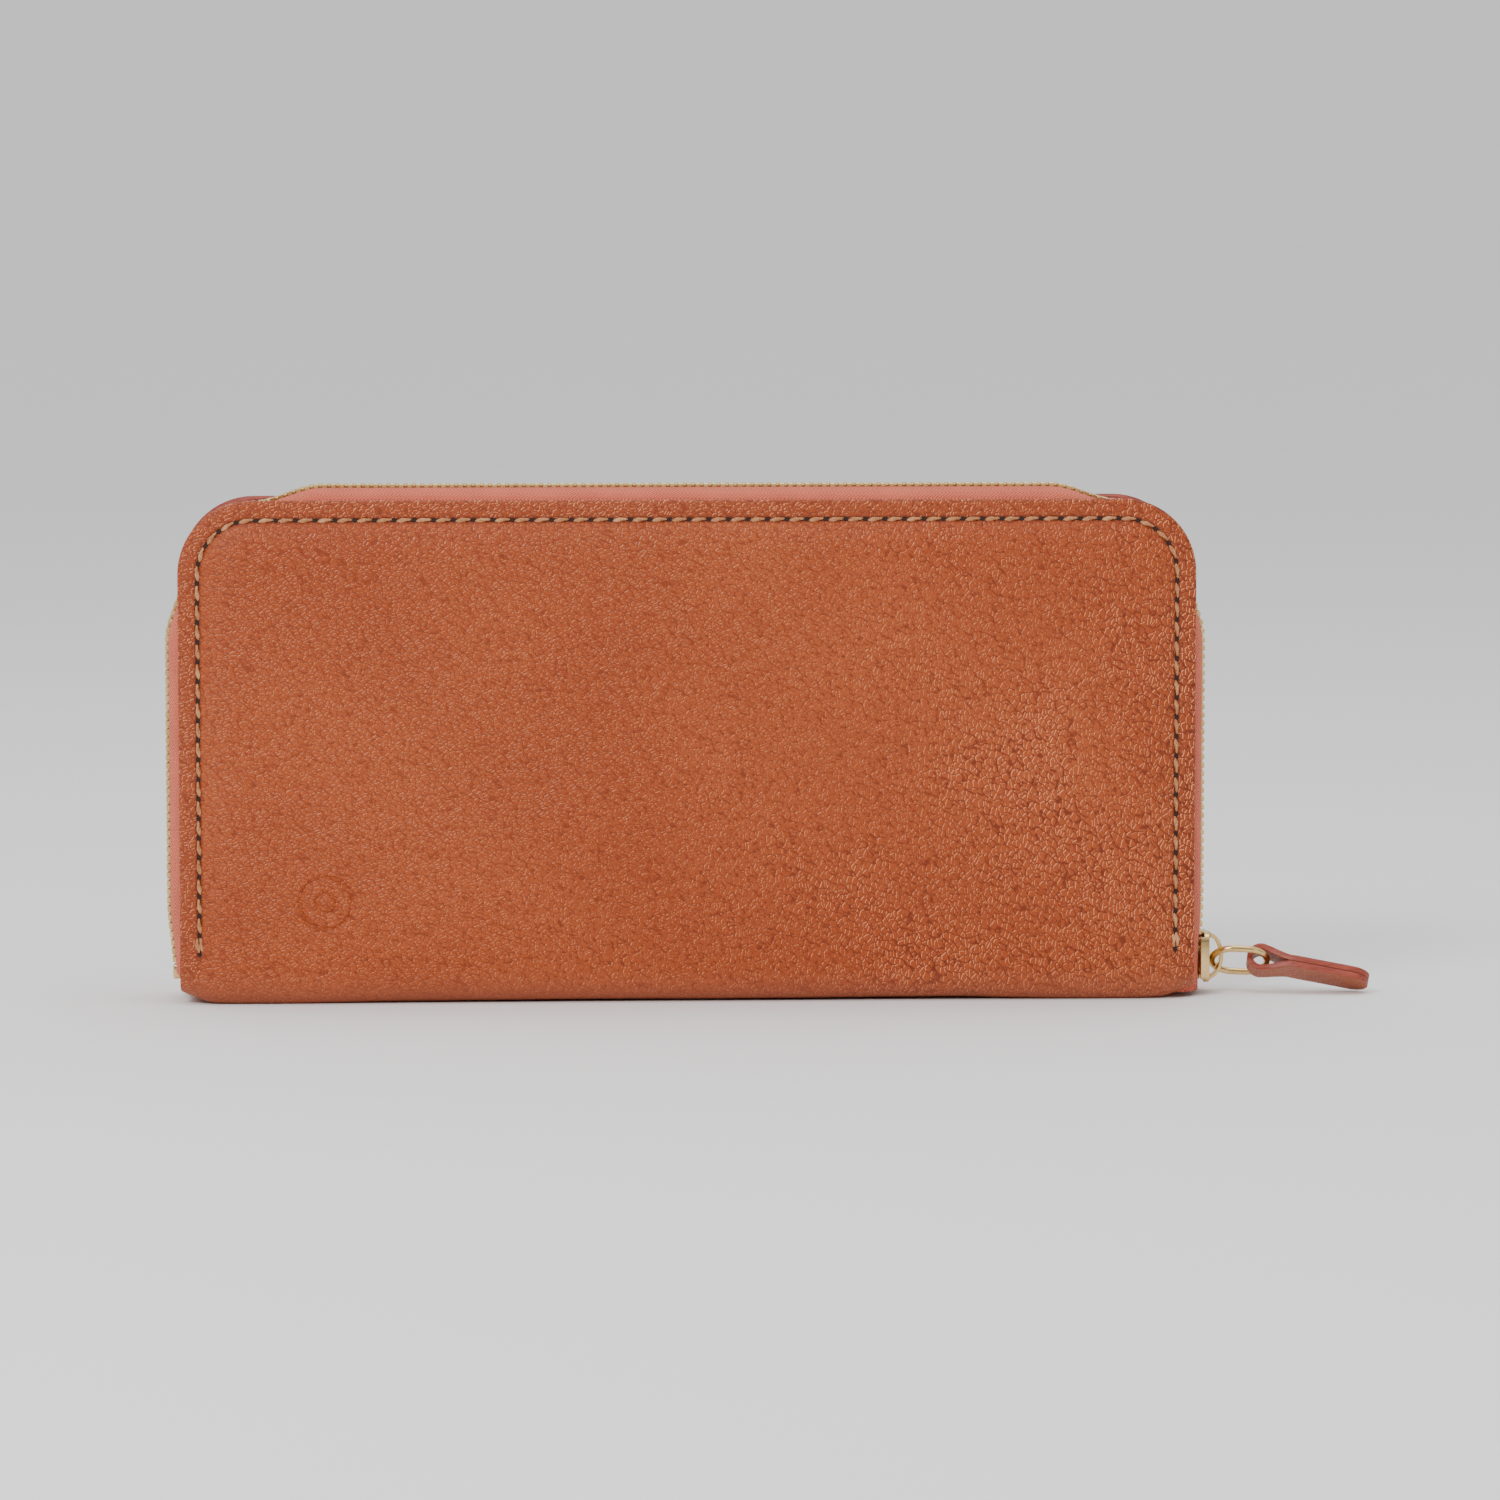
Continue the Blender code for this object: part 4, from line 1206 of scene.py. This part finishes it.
def add_coin_pocket():
    for side, turned in (("front", as_drawn), ("back", mirrored)):
        low, high = node_box("coin_front_wall")
        outer, inner = low.y, high.y
        hem = outer - 0.06
        outline = [(outer, low.z), (inner, low.z), (inner, high.z - 0.15), (inner - 0.1, high.z),
                   (outer + 0.1, high.z), (hem, high.z - 0.2), (hem, high.z - 4.0),
                   (outer, high.z - 4.4)]
        wall = extruded_face([(-COIN_HALF, y, z) for y, z in outline], (2 * COIN_HALF, 0, 0))
        piece = finished(f"coin_{side}_cloth_wall", turned(wall), "root", [CLOTH],
                         [f"coin_{side}_wall"])
        declare((2 * COIN_HALF, high.z - low.z))
        stitch = stitch_shape(2.2, 0.17)
        thread = bmesh.new()
        for step in range(int(2 * (COIN_HALF - 2) / COIN_STITCH_PITCH)):
            spot = (-COIN_HALF + 3 + COIN_STITCH_PITCH * step, outer - 0.12, high.z - 2.2)
            add_copy(thread, stitch, placed(spot, (1, 0, 0.04), (0, -1, 0)))
        finished(f"coin_{side}_stitches", turned(thread), "root", [THREAD], sharp=80)

        section = ((1.75, 60.0), (1.75, 65.0), (1.75, 69.6), (1.68, 70.5), (1.5, 71.2), (1.2, 71.7))
        reach = COIN_ZIP_HALF + 3
        tape = grid(2, len(section), lambda row, column: Vector(
            ((2 * row - 1) * reach, -section[column][0], section[column][1])), (2 * reach, 13.0))
        face_out(tape)
        piece = finished(f"coin_{side}_woven_tape", turned(tape), "root", [COIN_TAPE],
                         [f"coin_{side}_tape"], sharp=60)
        thicken(piece, 0.2, 0.0)
        declare((COIN_TAPE_WIDTH, 2 * reach))

        tooth = rounded_block((-0.42, 0.05, -0.7), (0.42, 1.1, 0.7), 0.14, 1)
        shape = as_mesh(tooth, "coin_tooth")
        teeth = bmesh.new()
        low, high = node_box("coin_front_teeth")
        count = round(2 * COIN_ZIP_HALF / COIN_TEETH_PITCH)
        shift = 0.25 if side == "front" else 0.75
        for index in range(count):
            x = -COIN_ZIP_HALF + (index + shift) * 2 * COIN_ZIP_HALF / count
            add_copy(teeth, shape, placed((x, 0, (low.z + high.z) / 2), (-1, 0, 0), (0, 0, 1)))
        finished(f"coin_{side}_gold_teeth", turned(teeth), "root", [TOOTH_GOLD],
                 [f"coin_{side}_teeth"], sharp=25)
    for end in ("left", "right"):
        add_stop(f"coin_{end}_stop", "root")


def add_coin_slider():
    low, high = node_box("coin_slider_body")
    top = rounded_block((low.x, low.y, high.z - 0.8), high, 0.35)
    bottom = rounded_block((low.x, -1.3, low.z), (high.x, 1.3, low.z + 0.8), 0.3)
    post = rounded_block((low.x + 0.4, -0.3, low.z + 0.4), (low.x + 2.0, 0.3, high.z - 0.4), 0.1, 1)
    finished("coin_slider_casting", joined([top, bottom, post]), "coin_slider", [GOLD],
             ["coin_slider_body"])
    low, high = node_box("coin_slider_bridge")
    middle = (low.x + high.x) / 2
    outline = [(middle + along, low.y, low.z + out)
               for along, out in arch_outline(high.z - low.z, (high.x - low.x) / 2, 0.7)]
    shapes = [extruded_face(outline, (0, high.y - low.y, 0))]
    for x in (middle - 2.45, middle + 2.45):
        shapes.append(rounded_block((x - 0.5, low.y - 0.1, low.z - 0.6),
                                    (x + 0.5, high.y + 0.1, low.z + 0.25), 0.15, 1))
    soften(finished("coin_slider_arch", joined(shapes), "coin_slider", [GOLD],
                    ["coin_slider_bridge"]), 0.15)


def add_coin_pull():
    """A flat pull with an eye at one end."""
    low, high = node_box("coin_pull")
    half = (high.z - low.z) / 2
    bm = bmesh.new()
    outline = [(low.x, low.y + 0.3), (high.x - 1.6, low.y), (high.x, low.y + 1.3),
               (high.x, high.y - 1.3), (high.x - 1.6, high.y), (low.x, high.y - 0.3)]
    eye = [(COIN_PIVOT.x + half, -1.1), (COIN_PIVOT.x + 3.0, -1.1), (COIN_PIVOT.x + 3.0, 1.1),
           (COIN_PIVOT.x + half, 1.1)]
    loops = [[bm.verts.new((x, y, low.z)) for x, y in points] for points in (outline, eye)]
    edges = [bm.edges.new((loop[index - 1], vert))
             for loop in loops for index, vert in enumerate(loop)]
    bmesh.ops.triangle_fill(bm, edges=edges, use_beauty=True)
    extrude(bm, bm.faces[:], (0, 0, high.z - low.z))
    bmesh.ops.dissolve_limit(bm, angle_limit=math.radians(1), verts=bm.verts, edges=bm.edges)
    face_out(bm)
    soften(finished("coin_pull_plate", bm, "coin_pull", [GOLD], ["coin_pull"]), 0.18, 3)


# Stage


def add_stage():
    floor = bmesh.new()
    bmesh.ops.create_grid(floor, x_segments=1, y_segments=1, size=20000)
    piece = finished("floor", floor, "root", [], ride=False)
    material, shader, _ = new_material("paper_white", Roughness=0.9)
    shader.inputs["Base Color"].default_value = rgb(0.93, 0.93, 0.93)
    piece.data.materials.append(material)


def add_light(name, place, size, power):
    """A rectangular lamp that looks at the wallet's middle."""
    lamp = bpy.data.lights.new(name, "AREA")
    lamp.shape = "RECTANGLE"
    lamp.size, lamp.size_y = size
    lamp.energy = power
    light = bpy.data.objects.new(name, lamp)
    light.location = place
    towards = Vector((0, 0, 0.05)) - Vector(place)
    light.rotation_euler = towards.to_track_quat("-Z", "Y").to_euler()
    bpy.context.scene.collection.objects.link(light)


def add_camera():
    """A long lens a little to the left of the wallet and a little above it."""
    azimuth, elevation, away = math.radians(-3), math.radians(5), 1.2
    aim = Vector((11.5, -EDGE_Y, 47.7)) * METRE
    level = Vector((math.sin(azimuth), -math.cos(azimuth), 0)) * math.cos(elevation)
    data = bpy.data.cameras.new("camera")
    data.lens = 152.6
    camera = bpy.data.objects.new("camera", data)
    camera.location = aim + away * (level + Vector((0, 0, math.sin(elevation))))
    camera.rotation_euler = (aim - camera.location).to_track_quat("-Z", "Y").to_euler()
    bpy.context.scene.collection.objects.link(camera)
    bpy.context.scene.camera = camera


def add_world():
    """A pale studio, dimmer on the camera's side so that metal has something to mirror."""
    world = bpy.data.worlds.new("studio")
    world.use_nodes = True
    tree = world.node_tree
    shade = Shade(tree)
    direction = shade.node("ShaderNodeTexCoord", {})
    _, behind, above = direction.parts()
    light = 0.22 + behind.ramped(-0.7, 0.2) * 0.5 + above.ramped(0.15, 0.9) * 0.6
    # Behind the wallet the sky is as bright as the floor, so that no horizon shows.
    light = light + behind.ramped(0.5, 0.9) * 0.082
    colour = light.mix(rgb(0, 0, 0), rgb(1, 1, 1))
    background = tree.nodes["Background"]
    tree.links.new(colour.socket, background.inputs["Color"])
    background.inputs["Strength"].default_value = 1.0
    bpy.context.scene.world = world


add_stage()
add_world()
add_camera()
add_light("key", (-0.55, -0.8, 0.75), (0.45, 0.35), 7.5)
add_light("fill", (0.9, -0.9, 0.5), (0.6, 0.6), 1.2)
add_light("top", (0.1, 0.1, 1.1), (1.0, 0.5), 3.5)

for side, turned, turn in (("front", as_drawn, 1), ("back", mirrored, -1)):
    add_cover_leather(side, turned)
    add_seam(side, turned)
    add_zip_tape(side, turned)
    add_zip_teeth(side, turned, 0.25 if side == "front" else 0.75)
    add_lining(side, turned)
    add_card_pockets(side, turned)
    add_gussets(side, turned)
    stiffener_looks = frame["nodes"][side + "_stiffener"].data.materials
    stiffener_looks.clear()
    stiffener_looks.append(BOARD)
add_stops()
add_slider()
add_ring()
add_tab()
add_coin_pocket()
add_coin_slider()
add_coin_pull()
